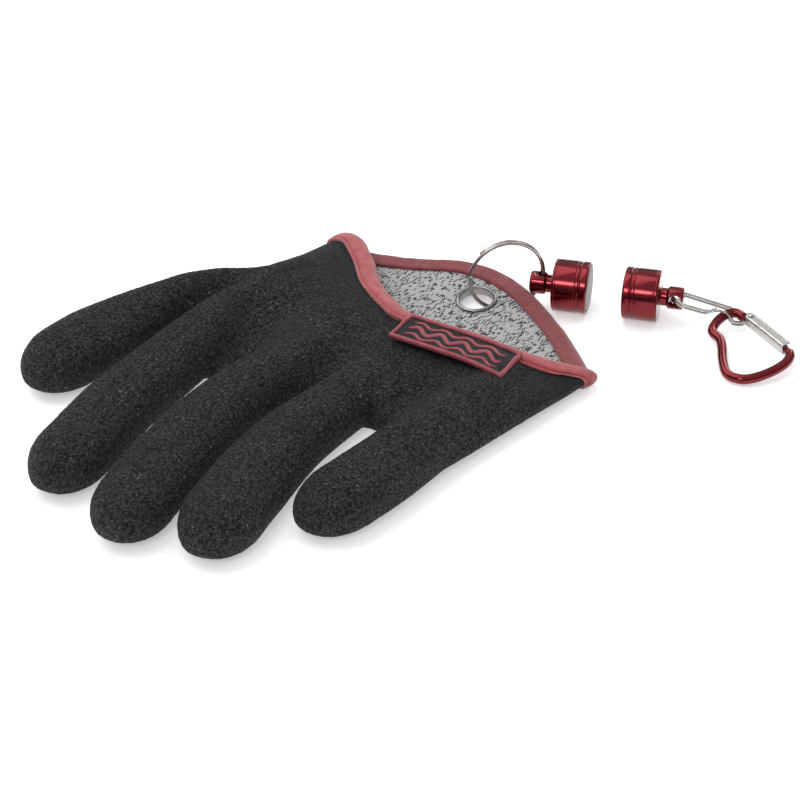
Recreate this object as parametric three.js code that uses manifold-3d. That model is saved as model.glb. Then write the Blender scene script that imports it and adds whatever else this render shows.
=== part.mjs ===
// Dipped knit fishing glove, lying palm down, with a magnetic release clip and a small carabiner.
// Millimetres, +Z up. +X runs from the fingertips to the cuff, +Y from the thumb side to the little finger.
// The origin lies on the surface that the glove rests on, under the middle of the palm.
import * as THREE from "three";
import { mergeVertices } from "three/addons/utils/BufferGeometryUtils.js";
import Module from "manifold-3d";

const wasm = await Module();
wasm.setup();

// Driving dimensions of the glove
const FINGER_REACH = 128; // from the origin to the longest fingertip
const CUFF_REACH = 77; // from the origin to the edge of the lower layer
const HAND_SPAN = 158; // from the thumb's outer side to the little finger's
const FINGER_WIDTH = 30;
const FINGER_HEIGHT = 18;
const PALM_HEIGHT = 19;
const FINGER_WALL = 2;
const SLEEVE_WALL = 1.2;
const LINING_WALL = 0.9;
const CUFF_LIFT_LENGTH = 39; // over this length the lower layer rises from the surface to its edge
const CUFF_LIFT_SLOPE = 0.13;
const TAPE_WIDTH = 6;
const TAPE_WALL = 0.9;
const TAPE_GAP = 0.25;
const GAP = 0.3; // clearance between neighbouring pieces

// Driving dimensions of the label
const LABEL_LENGTH = 44.5;
const LABEL_WIDTH = 17;
const LABEL_WALL = 1.1;
const LABEL_FRAME_WIDTH = 1.6;
const LABEL_FRAME_HEIGHT = 1.8;
const LABEL_CORNER = new THREE.Vector2(0.274 * CUFF_REACH, -0.025 * HAND_SPAN); // nearer the little finger
const LABEL_ANGLE = THREE.MathUtils.degToRad(-76.7);

// Driving dimensions of the eyelet and the split ring
const EYELET_HOLE_RADIUS = 6.2;
const EYELET_TUBE_WALL = 0.5;
const EYELET_FLANGE_RADIUS = 7.7;
const EYELET_FLANGE_WALL = 0.5;
const RING_RADIUS = 14.5; // outside
const RING_WIRE_WIDTH = 1.3;
const RING_WIRE_HEIGHT = 1.05;
const RING_PITCH = 1.3;
const RING_TURNS = 1.9;

// Driving dimensions of the two magnet halves
const MAGNET_RADIUS = 9.7;
const MAGNET_BODY = 13;
const MAGNET_CHAMFER = 0.5;
const MAGNET_GROOVE_AT = 2.9;
const MAGNET_GROOVE_WIDTH = 0.5;
const MAGNET_GROOVE_DEPTH = 0.4;
const MAGNET_NECK_RADIUS = 3.3;
const MAGNET_NECK = 3.4;
const MAGNET_KNOB_RADIUS = 4.15;
const MAGNET_KNOB = 5.4;
const MAGNET_HOLE_RADIUS = 2.35;
const MAGNET_HOLE_FROM_END = 3.6;
const DISC_RADIUS = 8.4;
const DISC_WALL = 2;
const DISC_PROUD = 0.2;
const MAGNETS_APART = 13; // between the two faces as they lie

// Driving dimensions of the link and the carabiner
const LINK_LENGTH = 28.5; // between wire centres
const LINK_WIDTH = 11.5; // between wire centres
const LINK_WIRE = 0.9;
const LINK_PITCH = 1.1;
const LINK_TURNS = 1.92;
const LINK_BACK = 0.8; // the end of the link lies this far past the middle of the knob's hole
const LINK_BUMP = 2.7; // rise of the near strand over the carabiner's bar
const LINK_BUMP_AT = 18;
const LINK_BUMP_REACH = 6.5;
const CARABINER_LENGTH = 39; // between bar centres
const CARABINER_WIDTH = 27; // between bar centres
const CARABINER_BAR = 3.6;
const GATE_WIDTH = 3.4;
const GATE_HEIGHT = 3.8;
const GATE_SHEET = 0.5;
const RIVET_RADIUS = 0.7;
const TONGUE_WALL = 1.9;
const HINGE_TONGUE = 2.6;
const NOSE_TONGUE = 1.6;

// Places of the loose pieces, as they lie in front of the cuff
const EYELET_FROM_EDGE = 16;
const EYELET_AT = new THREE.Vector2(CUFF_REACH - EYELET_FROM_EDGE, 0);
const MAGNET_LINE_ANGLE = THREE.MathUtils.degToRad(-60);
const KNOB_HOLE_A = new THREE.Vector2(EYELET_AT.x + 19.1, EYELET_AT.y - 14.4);
const RING_ANGLE = THREE.MathUtils.degToRad(-33.5);
const LINK_ANGLE = THREE.MathUtils.degToRad(-52.5);
const LINK_END_HEIGHT = 1.3;
const LINK_DROP = (MAGNET_RADIUS - LINK_END_HEIGHT) / LINK_LENGTH; // fall of the link along its length
const LINK_ROLL = THREE.MathUtils.degToRad(8);
// Where the bar leaves the link, in the link and in the carabiner
const LINK_HOOK = new THREE.Vector2(0.904 * LINK_LENGTH, -0.396 * LINK_WIDTH);
const BAR_HOOK = new THREE.Vector2(0.078 * CARABINER_WIDTH, 0.397 * CARABINER_LENGTH);
const CARABINER_ANGLE = THREE.MathUtils.degToRad(-47.6);
const CARABINER_TILT = THREE.MathUtils.degToRad(5.4);
const CARABINER_LEAN = THREE.MathUtils.degToRad(3);

// Fineness of the faces
const SIDES = 20; // columns across one layer of the palm
const FINGER_SIDES = 14;
const TURNED_SIDES = 20;
const HOUSING_SIDES = 18;
const KNOB_HOLE_SIDES = 10;
const PIN_SIDES = 8;
const RING_STEPS = 24; // for each turn
const LINK_STEPS = 26;
const BAR_STEPS = 38;
const BAR_SIDES = 8;

const slots = {
  coating: { color: 0x2a2a2c, roughness: 0.85, metalness: 0 },
  knit: { color: 0xb3b0ab, roughness: 0.95, metalness: 0 },
  binding: { color: 0xbf5a5c, roughness: 0.85, metalness: 0 },
  rubber: { color: 0x2d3133, roughness: 0.6, metalness: 0 },
  frame: { color: 0xb45d66, roughness: 0.6, metalness: 0 },
  steel: { color: 0xb8b5ae, roughness: 0.3, metalness: 1 },
  anodised: { color: 0x9c1f2a, roughness: 0.25, metalness: 0.9 },
  magnet: { color: 0xa5a19a, roughness: 0.5, metalness: 0.8 },
};

// A smooth value at a place in a table of rows [place, value]
function smoothAt(rows, place) {
  const last = rows.length - 1;
  if (place <= rows[0][0]) return rows[0][1];
  if (place >= rows[last][0]) return rows[last][1];
  const i = rows.findIndex((row) => row[0] > place) - 1;
  const slope = (k) => {
    const before = rows[Math.max(k - 1, 0)];
    const after = rows[Math.min(k + 1, last)];
    return (after[1] - before[1]) / (after[0] - before[0]);
  };
  const span = rows[i + 1][0] - rows[i][0];
  const t = (place - rows[i][0]) / span;
  const t2 = t * t;
  const t3 = t2 * t;
  return (
    (2 * t3 - 3 * t2 + 1) * rows[i][1] +
    (t3 - 2 * t2 + t) * span * slope(i) +
    (3 * t2 - 2 * t3) * rows[i + 1][1] +
    (t3 - t2) * span * slope(i + 1)
  );
}

// Faces between rings of points, each ring with the same count, closed at its ends or on itself
function ringFaces(rings, { loop = false, stripCaps = false } = {}) {
  const n = rings[0].length;
  const faces = [];
  const quad = (a, b, c, d) => faces.push([a, b, c], [a, c, d]);
  const spans = loop ? rings.length : rings.length - 1;
  for (let i = 0; i < spans; i++) {
    const a = i * n;
    const b = ((i + 1) % rings.length) * n;
    for (let j = 0; j < n; j++) {
      const k = (j + 1) % n;
      quad(a + j, a + k, b + k, b + j);
    }
  }
  if (!loop) {
    for (const [base, flip] of [[0, true], [(rings.length - 1) * n, false]]) {
      const cap = (a, b, c) => faces.push([a, ...(flip ? [c, b] : [b, c])].map((k) => base + k));
      if (stripCaps) {
        for (let j = 0; j < n / 2; j++) {
          const across = n - j - 1;
          if (j > 0) cap(j, j + 1, (n - j) % n);
          if (j + 1 !== across) cap(j + 1, across, (n - j) % n);
        }
      } else {
        for (let j = 1; j < n - 1; j++) cap(0, j, j + 1);
      }
    }
  }
  return faces;
}

// A solid from points and faces, turned so that its faces point out
function solidFrom(points, faces) {
  const geometry = new THREE.BufferGeometry().setFromPoints(points);
  geometry.setIndex(faces.flat());
  const merged = mergeVertices(geometry, 1e-4);
  const used = [];
  const index = merged.index.array;
  for (let i = 0; i < index.length; i += 3) {
    const [a, b, c] = [index[i], index[i + 1], index[i + 2]];
    if (a !== b && b !== c && c !== a) used.push(a, b, c);
  }
  const build = (list) =>
    new wasm.Manifold(
      new wasm.Mesh({
        numProp: 3,
        vertProperties: merged.attributes.position.array,
        triVerts: new Uint32Array(list),
      }),
    );
  const solid = build(used);
  if (solid.volume() > 0) return solid;
  const turned = [];
  for (let i = 0; i < used.length; i += 3) turned.push(used[i], used[i + 2], used[i + 1]);
  return build(turned);
}

const loft = (rings, options) => solidFrom(rings.flat(), ringFaces(rings, options));

// A solid turned about +Z from rows [radius, height]
function turned(profile, sides) {
  const geometry = new THREE.LatheGeometry(
    profile.map(([radius, height]) => new THREE.Vector2(radius, height)),
    sides,
  );
  geometry.deleteAttribute("normal");
  geometry.deleteAttribute("uv");
  geometry.rotateX(Math.PI / 2);
  return fromGeometry(geometry);
}

function fromGeometry(geometry) {
  const plain = geometry.index ? geometry.toNonIndexed() : geometry.clone();
  for (const name of Object.keys(plain.attributes)) if (name !== "position") plain.deleteAttribute(name);
  const merged = mergeVertices(plain, 1e-4);
  const points = [];
  const at = merged.attributes.position;
  for (let i = 0; i < at.count; i++) points.push(new THREE.Vector3().fromBufferAttribute(at, i));
  const faces = [];
  const index = merged.index.array;
  for (let i = 0; i < index.length; i += 3) faces.push([index[i], index[i + 1], index[i + 2]]);
  return solidFrom(points, faces);
}

// A round pin along +Z, with its middle at the origin unless its low end is given
const pin = (radius, reach, sides, low = -reach) =>
  turned([[0, low], [radius, low], [radius, reach], [0, reach]], sides);

const moved = (solid, matrix) => solid.transform(Array.from(matrix.elements));

function geometryOf(solid) {
  const mesh = solid.getMesh();
  const geometry = new THREE.BufferGeometry();
  geometry.setAttribute("position", new THREE.BufferAttribute(new Float32Array(mesh.vertProperties), 3));
  geometry.setIndex(Array.from(mesh.triVerts));
  geometry.computeVertexNormals();
  return geometry;
}

const glove = new THREE.Group();

function addPiece(name, solid, slot, parent = glove) {
  const mesh = new THREE.Mesh(geometryOf(solid), new THREE.MeshStandardMaterial(slots[slot]));
  mesh.name = name;
  parent.add(mesh);
  return mesh;
}

// Palm and sleeve
// Outline of the palm seen from above: place along X as a share of the cuff reach, Y as a share of the span
const NEAR_EDGE = [[-0.65, -0.392], [-0.26, -0.402], [0.26, -0.405], [0.68, -0.409], [1.04, -0.409]];
const FAR_EDGE = [
  [-0.65, 0.53], [-0.39, 0.52], [-0.1, 0.49], [0.09, 0.455], [0.31, 0.42], [0.44, 0.405], [0.68, 0.39],
  [1.04, 0.385],
];
// Heights as shares of the palm height, and roundings of the sides as shares of the palm's width
const CROWN = [
  [-0.65, 0.9], [-0.26, 1.03], [0.08, 0.97], [0.3, 0.85], [0.42, 0.81], [0.68, 0.83], [1.04, 0.83],
];
const NEAR_FOLD = [[-0.65, 0.42], [0, 0.4], [0.68, 0.26]];
const FAR_FOLD = [[-0.65, 0.42], [0, 0.42], [0.68, 0.47]];
const NEAR_ROUND = [[-0.65, 0.2], [0, 0.22], [0.68, 0.42]];
const FAR_ROUND = [[-0.65, 0.2], [0, 0.2], [0.68, 0.13]];
const UNDER_ROUND = 0.07;
const FOLD_BLEND = 0.09; // share of the width over which the tape turns square to its edge
// Ends of the two layers along X as shares of the cuff reach, at shares of the way across the palm
const UPPER_END = [
  [0, 0.655], [0.03, 0.59], [0.08, 0.51], [0.14, 0.455], [0.2, 0.425], [0.28, 0.4], [0.35, 0.37],
  [0.43, 0.33], [0.5, 0.31], [0.56, 0.34], [0.63, 0.385], [0.7, 0.445], [0.78, 0.54], [0.84, 0.6],
  [0.91, 0.665], [1, 0.695],
];
const LOWER_END = [
  [0, 0.655], [0.03, 0.675], [0.12, 0.76], [0.22, 0.845], [0.37, 0.945], [0.5, 0.995], [0.62, 0.985],
  [0.7, 0.94], [0.78, 0.865], [0.86, 0.8], [0.93, 0.755], [0.97, 0.73], [1, 0.695],
];
// Front of the palm between the fingers, as shares of the cuff reach
const FRONT_END = [
  [0, -0.2], [0.15, -0.33], [0.25, -0.42], [0.4, -0.57], [0.55, -0.65], [0.7, -0.65], [0.85, -0.55],
  [1, -0.33],
];

const nearEdge = (x) => HAND_SPAN * smoothAt(NEAR_EDGE, x / CUFF_REACH);
const farEdge = (x) => HAND_SPAN * smoothAt(FAR_EDGE, x / CUFF_REACH);
const underside = (x) => Math.max(0, CUFF_LIFT_SLOPE * (x - CUFF_REACH + CUFF_LIFT_LENGTH));
const acrossOf = (step) => (1 - Math.cos(Math.PI * step)) / 2;

// How far a layer has risen from the fold, from 0 at a side to 1
function rise(across, near, far) {
  const toNear = Math.min(1, across / near);
  const toFar = Math.min(1, (1 - across) / far);
  const least = Math.min(toNear, toFar);
  return Math.sqrt(Math.max(0, 1 - (1 - least) ** 2));
}

// A point on the upper or lower layer, sunk by a depth below its outer face
function layerPoint(upper, x, across, depth = 0) {
  const along = x / CUFF_REACH;
  const near = nearEdge(x) + depth;
  const far = farEdge(x) - depth;
  const folds = [NEAR_FOLD, FAR_FOLD].map((rows) => PALM_HEIGHT * smoothAt(rows, along));
  const fold = THREE.MathUtils.lerp(...folds, across);
  const y = near + across * (far - near);
  if (upper) {
    const crown = PALM_HEIGHT * smoothAt(CROWN, along) - depth;
    const risen = rise(across, smoothAt(NEAR_ROUND, along), smoothAt(FAR_ROUND, along));
    return new THREE.Vector3(x, y, fold + (crown - fold) * risen);
  }
  const low = Math.max(0, underside(x) + depth);
  return new THREE.Vector3(x, y, fold - (fold - low) * rise(across, UNDER_ROUND, UNDER_ROUND));
}

// The columns of one ring: up over the back from the near fold, and home under the palm
function ringColumns() {
  const columns = [];
  for (let j = 0; j < 2 * SIDES; j++) {
    const upper = j <= SIDES;
    columns.push({ upper, across: acrossOf(upper ? j / SIDES : 2 - j / SIDES) });
  }
  return columns;
}
const COLUMNS = ringColumns();
const layerEnd = ({ upper, across }) => CUFF_REACH * smoothAt(upper ? UPPER_END : LOWER_END, across);

// Where a column of the cuff comes to when it is moved out over the edge by a distance
function edgePlace(j, distance) {
  const at = (k) => {
    const column = COLUMNS[(k + COLUMNS.length) % COLUMNS.length];
    const x = layerEnd(column);
    return new THREE.Vector2(x, nearEdge(x) + column.across * (farEdge(x) - nearEdge(x)));
  };
  const { upper, across } = COLUMNS[j];
  const here = at(j);
  const tangent = at(j + 1).sub(at(j - 1));
  if (!upper) tangent.negate();
  const square = new THREE.Vector2(tangent.y, -tangent.x).normalize();
  const fromFold = THREE.MathUtils.smoothstep(Math.min(across, 1 - across), 0, FOLD_BLEND);
  const out = new THREE.Vector2(1, 0).lerp(square, 0.75 * fromFold).normalize();
  const reach = distance / Math.max(0.6, THREE.MathUtils.lerp(1, out.dot(square), fromFold));
  const x = here.x + reach * out.x;
  const y = here.y + reach * out.y;
  const width = farEdge(x) - nearEdge(x);
  const shifted = THREE.MathUtils.clamp((y - nearEdge(x)) / width, 0, 1);
  return { upper, x, across: THREE.MathUtils.lerp(across, shifted, fromFold) };
}

// Places of one column from the front of the palm to the cuff edge, the last ones where the tape lies
const FRONT_ROWS = 8;
const LINING_FIRST_ROW = 5; // the bare knit starts at this row
function columnPlaces(j, start) {
  const inner = edgePlace(j, -TAPE_WIDTH - 1);
  const places = [];
  for (let i = 0; i < FRONT_ROWS; i++) {
    const t = i / FRONT_ROWS;
    places.push({
      x: THREE.MathUtils.lerp(start, inner.x, t),
      across: THREE.MathUtils.lerp(COLUMNS[j].across, inner.across, t * t),
    });
  }
  return [...places, inner, edgePlace(j, -TAPE_WIDTH / 2), edgePlace(j, 0)];
}

// A palm body from its starts to the cuff edge, given as a function of the column
function palmRings(starts, depth) {
  const columns = COLUMNS.map((column, j) =>
    columnPlaces(j, starts(column)).map(({ x, across }) => layerPoint(column.upper, x, across, depth)),
  );
  return columns[0].map((_, i) => columns.map((column) => column[i]));
}
const ringPast = (distance, depth) =>
  COLUMNS.map((column, j) => {
    const { x, across } = edgePlace(j, distance);
    return layerPoint(column.upper, x, across, depth);
  });
const frontEnd = ({ across }) => CUFF_REACH * smoothAt(FRONT_END, across);
const insideStart = (column) => frontEnd(column) + FINGER_WALL;

function palmOutside() {
  return loft([...palmRings(frontEnd, 0), ringPast(0, 2 * SLEEVE_WALL)], { stripCaps: true });
}

function palmInside() {
  const past = 8;
  const rings = palmRings(insideStart, SLEEVE_WALL);
  return loft([...rings, ringPast(past, SLEEVE_WALL)], { stripCaps: true });
}

// Fingers: points of each middle line as shares of the finger reach and the span, root first, tip last
const FINGERS = [
  {
    name: "thumb",
    width: 0.84,
    path: [[0.1, -0.3], [-0.08, -0.31], [-0.24, -0.317], [-0.47, -0.317], [-0.66, -0.314]],
  },
  {
    name: "index_finger",
    width: 1,
    path: [[-0.14, -0.09], [-0.27, -0.11], [-0.56, -0.139], [-0.7, -0.174], [-0.8, -0.203], [-0.92, -0.228]],
  },
  {
    name: "middle_finger",
    width: 1,
    path: [[-0.15, 0.12], [-0.39, 0.095], [-0.575, 0.06], [-0.705, 0.018], [-0.86, -0.016], [-1.024, -0.057]],
  },
  {
    name: "ring_finger",
    width: 0.97,
    path: [
      [-0.08, 0.31], [-0.23, 0.32], [-0.39, 0.305], [-0.53, 0.277], [-0.68, 0.243], [-0.82, 0.21],
      [-0.99, 0.171],
    ],
  },
  {
    name: "little_finger",
    width: 0.93,
    path: [[0.08, 0.4], [-0.06, 0.437], [-0.16, 0.468], [-0.31, 0.5], [-0.445, 0.51], [-0.69, 0.481]],
  },
];
// Sections along a finger: place as a share of its length, width and height as shares of the finger's
const FINGER_SECTIONS = [
  [0, 0.86, 0.82], [0.18, 0.93, 0.94], [0.36, 0.98, 1], [0.54, 1, 1], [0.7, 0.99, 0.98], [0.82, 0.95, 0.94],
  [0.91, 0.82, 0.84], [0.965, 0.6, 0.68], [1, 0.25, 0.46],
];
const FINGER_MIDDLE = 0.4; // height of the widest place
const FINGER_FLAT = 0.7; // share of the lower curve that lies flat
const TIP_LIFT = 0.24; // height of the underside at the very tip
const TIP_LIFT_FROM = 0.84; // the underside lifts where a section is lower than this share of the height
const TIP_LIFT_OVER = 0.38;
const LEAST_HALF = 0.6; // half of the least width or height that a section keeps
const FINGER_PARTED_AT = -0.4 * FINGER_REACH; // beyond this place the fingers are solids of their own

function fingerSolid(finger, depth) {
  const points = finger.path.map(([x, y]) => new THREE.Vector3(x * FINGER_REACH, y * HAND_SPAN, 0));
  const curve = new THREE.CatmullRomCurve3(points);
  const length = curve.getLength();
  const rings = FINGER_SECTIONS.map(([along, wide, high], i) => {
    const last = i === FINGER_SECTIONS.length - 1;
    const sunk = 1 - depth / length; // the hollow ends short of the tip by the depth
    const place = Math.min(along, sunk) * (last ? sunk : 1);
    const centre = curve.getPointAt(along * sunk);
    const forward = curve.getTangentAt(place);
    const sideways = new THREE.Vector3(-forward.y, forward.x, 0);
    const half = Math.max(LEAST_HALF, (FINGER_WIDTH * finger.width * wide) / 2 - depth);
    const middle = FINGER_HEIGHT * FINGER_MIDDLE;
    const top = Math.max(middle + LEAST_HALF, middle + (FINGER_HEIGHT - middle) * high - depth);
    const lift = FINGER_HEIGHT * TIP_LIFT * Math.max(0, (TIP_LIFT_FROM - high) / TIP_LIFT_OVER);
    const bottom = Math.min(middle - LEAST_HALF, lift + depth);
    const ring = [];
    for (let k = 0; k < FINGER_SIDES; k++) {
      const turn = (2 * Math.PI * k) / FINGER_SIDES;
      const c = Math.cos(turn);
      const s = Math.sin(turn);
      const sink = Math.min(1, -s / FINGER_FLAT);
      const z = s >= 0 ? middle + (top - middle) * s : middle - (middle - bottom) * sink;
      ring.push(centre.clone().addScaledVector(sideways, half * c).setZ(z));
    }
    return ring;
  });
  return loft(rings);
}

// Eyelet, square to the sloping lower layer
const CLOTH_WALL = SLEEVE_WALL + GAP + LINING_WALL;
const eyeletMatrix = new THREE.Matrix4()
  .makeRotationY(-Math.atan(CUFF_LIFT_SLOPE))
  .setPosition(EYELET_AT.x, EYELET_AT.y, underside(EYELET_AT.x) + CLOTH_WALL / 2);
const EYELET_TUBE_RADIUS = EYELET_HOLE_RADIUS + EYELET_TUBE_WALL;

function eyeletSolid() {
  const seat = CLOTH_WALL / 2 + TAPE_GAP;
  const top = seat + EYELET_FLANGE_WALL;
  const lip = EYELET_FLANGE_WALL / 2;
  const half = [
    [EYELET_TUBE_RADIUS, seat],
    [EYELET_FLANGE_RADIUS, seat],
    [EYELET_FLANGE_RADIUS - lip, top],
    [EYELET_HOLE_RADIUS + lip, top],
    [EYELET_HOLE_RADIUS, top - lip],
  ];
  const mirrored = half.map(([radius, height]) => [radius, -height]).reverse();
  const profile = [...half, ...mirrored];
  return moved(turned([...profile, profile[0]], TURNED_SIDES), eyeletMatrix);
}

function eyeletHole() {
  const radius = EYELET_TUBE_RADIUS + GAP;
  const reach = 3 * CLOTH_WALL;
  return moved(pin(radius, reach, TURNED_SIDES), eyeletMatrix);
}

// The palm with the roots of all fingers, as far as the place where the fingers are parted
function palmShell() {
  let outside = palmOutside();
  let inside = palmInside();
  for (const finger of FINGERS) {
    outside = outside.add(fingerSolid(finger, 0));
    inside = inside.add(fingerSolid(finger, FINGER_WALL));
  }
  return outside.subtract(inside).subtract(eyeletHole()).trimByPlane([1, 0, 0], FINGER_PARTED_AT + GAP / 2);
}

// The rest of one finger, clear of the finger before it
function fingerShell(finger, before) {
  const shell = fingerSolid(finger, 0).subtract(fingerSolid(finger, FINGER_WALL));
  const clear = before ? shell.subtract(fingerSolid(before, 0)) : shell;
  return clear.trimByPlane([-1, 0, 0], GAP / 2 - FINGER_PARTED_AT);
}

// Bare knit sleeve inside the cuff, a tube with open ends
function liningSolid() {
  const depths = [SLEEVE_WALL + GAP, CLOTH_WALL];
  const [outer, inner] = depths.map((depth) => palmRings(insideStart, depth).slice(LINING_FIRST_ROW));
  return loft([...outer, ...inner.reverse()], { loop: true }).subtract(eyeletHole());
}

// The folded tape round the whole cuff edge
function bindingSolid() {
  const out = -(TAPE_GAP + TAPE_WALL);
  const nose = CLOTH_WALL / 2 + TAPE_GAP + TAPE_WALL;
  const noseAt = TAPE_GAP + TAPE_WALL + GAP - nose;
  const profile = [[-TAPE_WIDTH, -TAPE_GAP], [-TAPE_WIDTH, out]];
  const steps = 4;
  for (let i = 0; i <= steps; i++) {
    const turn = (Math.PI * i) / steps;
    profile.push([noseAt + nose * Math.sin(turn), CLOTH_WALL / 2 - nose * Math.cos(turn)]);
  }
  profile.push(
    [-TAPE_WIDTH, CLOTH_WALL + TAPE_GAP + TAPE_WALL],
    [-TAPE_WIDTH, CLOTH_WALL + TAPE_GAP],
    [TAPE_GAP, CLOTH_WALL + TAPE_GAP],
    [TAPE_GAP, -TAPE_GAP],
  );
  const rings = COLUMNS.map((column, j) =>
    profile.map(([distance, depth]) => {
      const place = edgePlace(j, distance);
      return layerPoint(place.upper, place.x, place.across, depth);
    }),
  );
  return loft(rings, { loop: true });
}

// Label on the upper edge, laid over the tape and the coating
const labelAlong = new THREE.Vector2(Math.cos(LABEL_ANGLE), Math.sin(LABEL_ANGLE));
const labelInto = new THREE.Vector2(labelAlong.y, -labelAlong.x);

function labelPoint(along, into, height) {
  const place = LABEL_CORNER.clone()
    .addScaledVector(labelAlong, along * LABEL_LENGTH)
    .addScaledVector(labelInto, into * LABEL_WIDTH);
  const across = (place.y - nearEdge(place.x)) / (farEdge(place.x) - nearEdge(place.x));
  const seat = layerPoint(true, place.x, across).z;
  const overTape = TAPE_GAP + TAPE_WALL + GAP;
  const lift = THREE.MathUtils.lerp(overTape, GAP, THREE.MathUtils.smoothstep(into, 0.55, 1));
  return new THREE.Vector3(place.x, place.y, seat + lift + height);
}

function labelPatchSolid() {
  const insetAlong = (LABEL_FRAME_WIDTH + GAP) / LABEL_LENGTH;
  const insetInto = (LABEL_FRAME_WIDTH + GAP) / LABEL_WIDTH;
  const intoSteps = [insetInto, 0.35, 0.55, 0.75, 1 - insetInto];
  const rings = [];
  const stations = 8;
  for (let i = 0; i <= stations; i++) {
    const along = THREE.MathUtils.lerp(insetAlong, 1 - insetAlong, i / stations);
    rings.push([
      ...intoSteps.map((into) => labelPoint(along, into, 0)),
      ...intoSteps.map((into) => labelPoint(along, into, LABEL_WALL)).reverse(),
    ]);
  }
  return loft(rings);
}

function labelFrameSolid() {
  const border = [];
  const long = 8;
  const short = 4;
  for (let i = 0; i < long; i++) border.push([i / long, 0]);
  for (let i = 0; i < short; i++) border.push([1, i / short]);
  for (let i = 0; i < long; i++) border.push([1 - i / long, 1]);
  for (let i = 0; i < short; i++) border.push([0, 1 - i / short]);
  const along = LABEL_FRAME_WIDTH / LABEL_LENGTH;
  const into = LABEL_FRAME_WIDTH / LABEL_WIDTH;
  const rings = border.map(([a, b]) => {
    const inner = [THREE.MathUtils.clamp(a, along, 1 - along), THREE.MathUtils.clamp(b, into, 1 - into)];
    return [
      labelPoint(a, b, 0),
      labelPoint(a, b, LABEL_FRAME_HEIGHT),
      labelPoint(...inner, LABEL_FRAME_HEIGHT),
      labelPoint(...inner, 0),
    ];
  });
  return loft(rings, { loop: true });
}

// A wound wire: rings of a six-sided section along a path given as a function of the turn
const WIRE_SIDES = 6;
function woundWire(pathAt, turns, steps, width, height) {
  const rings = [];
  const count = Math.round(turns * steps);
  const half = width / 2 / Math.cos(Math.PI / WIRE_SIDES);
  for (let i = 0; i <= count; i++) {
    const { point, out, up } = pathAt(i / steps);
    const ring = [];
    for (let k = 0; k < WIRE_SIDES; k++) {
      const turn = (Math.PI * (2 * k + 1)) / WIRE_SIDES;
      const inner = point.clone().addScaledVector(out, half * Math.cos(turn));
      ring.push(inner.addScaledVector(up, (height / 2) * Math.sin(turn)));
    }
    rings.push(ring);
  }
  return loft(rings);
}

// Split ring, upright, through the eyelet and the knob of the first magnet half
const magnetLine = new THREE.Vector3(Math.cos(MAGNET_LINE_ANGLE), Math.sin(MAGNET_LINE_ANGLE), 0);
const ringLine = new THREE.Vector3(Math.cos(RING_ANGLE), Math.sin(RING_ANGLE), 0);
const RING_WIRE_RADIUS = RING_RADIUS - RING_WIRE_WIDTH / 2;
const RING_KNOB_REACH = Math.sqrt(RING_WIRE_RADIUS ** 2 - (RING_RADIUS - MAGNET_RADIUS) ** 2);
const ringCentre = new THREE.Vector3(KNOB_HOLE_A.x, KNOB_HOLE_A.y, RING_RADIUS);
ringCentre.addScaledVector(ringLine, -RING_KNOB_REACH);

function splitRingSolid() {
  const axis = new THREE.Vector3(-ringLine.y, ringLine.x, 0);
  const startTurn = THREE.MathUtils.degToRad(170);
  return woundWire(
    (turn) => {
      const angle = startTurn + 2 * Math.PI * turn;
      const out = ringLine.clone().multiplyScalar(Math.cos(angle)).setZ(Math.sin(angle));
      const point = ringCentre.clone()
        .addScaledVector(out, RING_WIRE_RADIUS)
        .addScaledVector(axis, RING_PITCH * (turn - RING_TURNS / 2));
      return { point, out, up: axis };
    },
    RING_TURNS,
    RING_STEPS,
    RING_WIRE_WIDTH,
    RING_WIRE_HEIGHT,
  );
}

// One magnet half: its face at the origin, its knob towards +Z, and the hole across the knob
const MAGNET_LENGTH = MAGNET_BODY + MAGNET_NECK + MAGNET_KNOB;
const MAGNET_HOLE_AT = MAGNET_LENGTH - MAGNET_HOLE_FROM_END;

function housingSolid(holeTurn) {
  const edge = MAGNET_CHAMFER;
  const groove = MAGNET_RADIUS - MAGNET_GROOVE_DEPTH;
  const recess = DISC_WALL - DISC_PROUD + GAP;
  const profile = [
    [0, recess],
    [DISC_RADIUS + GAP, recess],
    [DISC_RADIUS + GAP, 0],
    [MAGNET_RADIUS - edge, 0],
    [MAGNET_RADIUS, edge],
    [MAGNET_RADIUS, MAGNET_GROOVE_AT],
    [groove, MAGNET_GROOVE_AT],
    [groove, MAGNET_GROOVE_AT + MAGNET_GROOVE_WIDTH],
    [MAGNET_RADIUS, MAGNET_GROOVE_AT + MAGNET_GROOVE_WIDTH],
    [MAGNET_RADIUS, MAGNET_BODY - edge],
    [MAGNET_RADIUS - edge, MAGNET_BODY],
    [MAGNET_NECK_RADIUS, MAGNET_BODY],
    [MAGNET_NECK_RADIUS, MAGNET_BODY + MAGNET_NECK - edge],
    [MAGNET_KNOB_RADIUS, MAGNET_BODY + MAGNET_NECK],
    [MAGNET_KNOB_RADIUS, MAGNET_LENGTH - edge],
    [MAGNET_KNOB_RADIUS - edge, MAGNET_LENGTH],
    [0, MAGNET_LENGTH],
  ];
  const reach = 2 * MAGNET_KNOB_RADIUS;
  const hole = pin(MAGNET_HOLE_RADIUS, reach, KNOB_HOLE_SIDES);
  const place = new THREE.Matrix4().makeTranslation(0, 0, MAGNET_HOLE_AT).multiply(holeTurn);
  return turned(profile, HOUSING_SIDES).subtract(moved(hole, place));
}

function discSolid() {
  return pin(DISC_RADIUS, DISC_WALL - DISC_PROUD, TURNED_SIDES, -DISC_PROUD);
}

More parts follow.
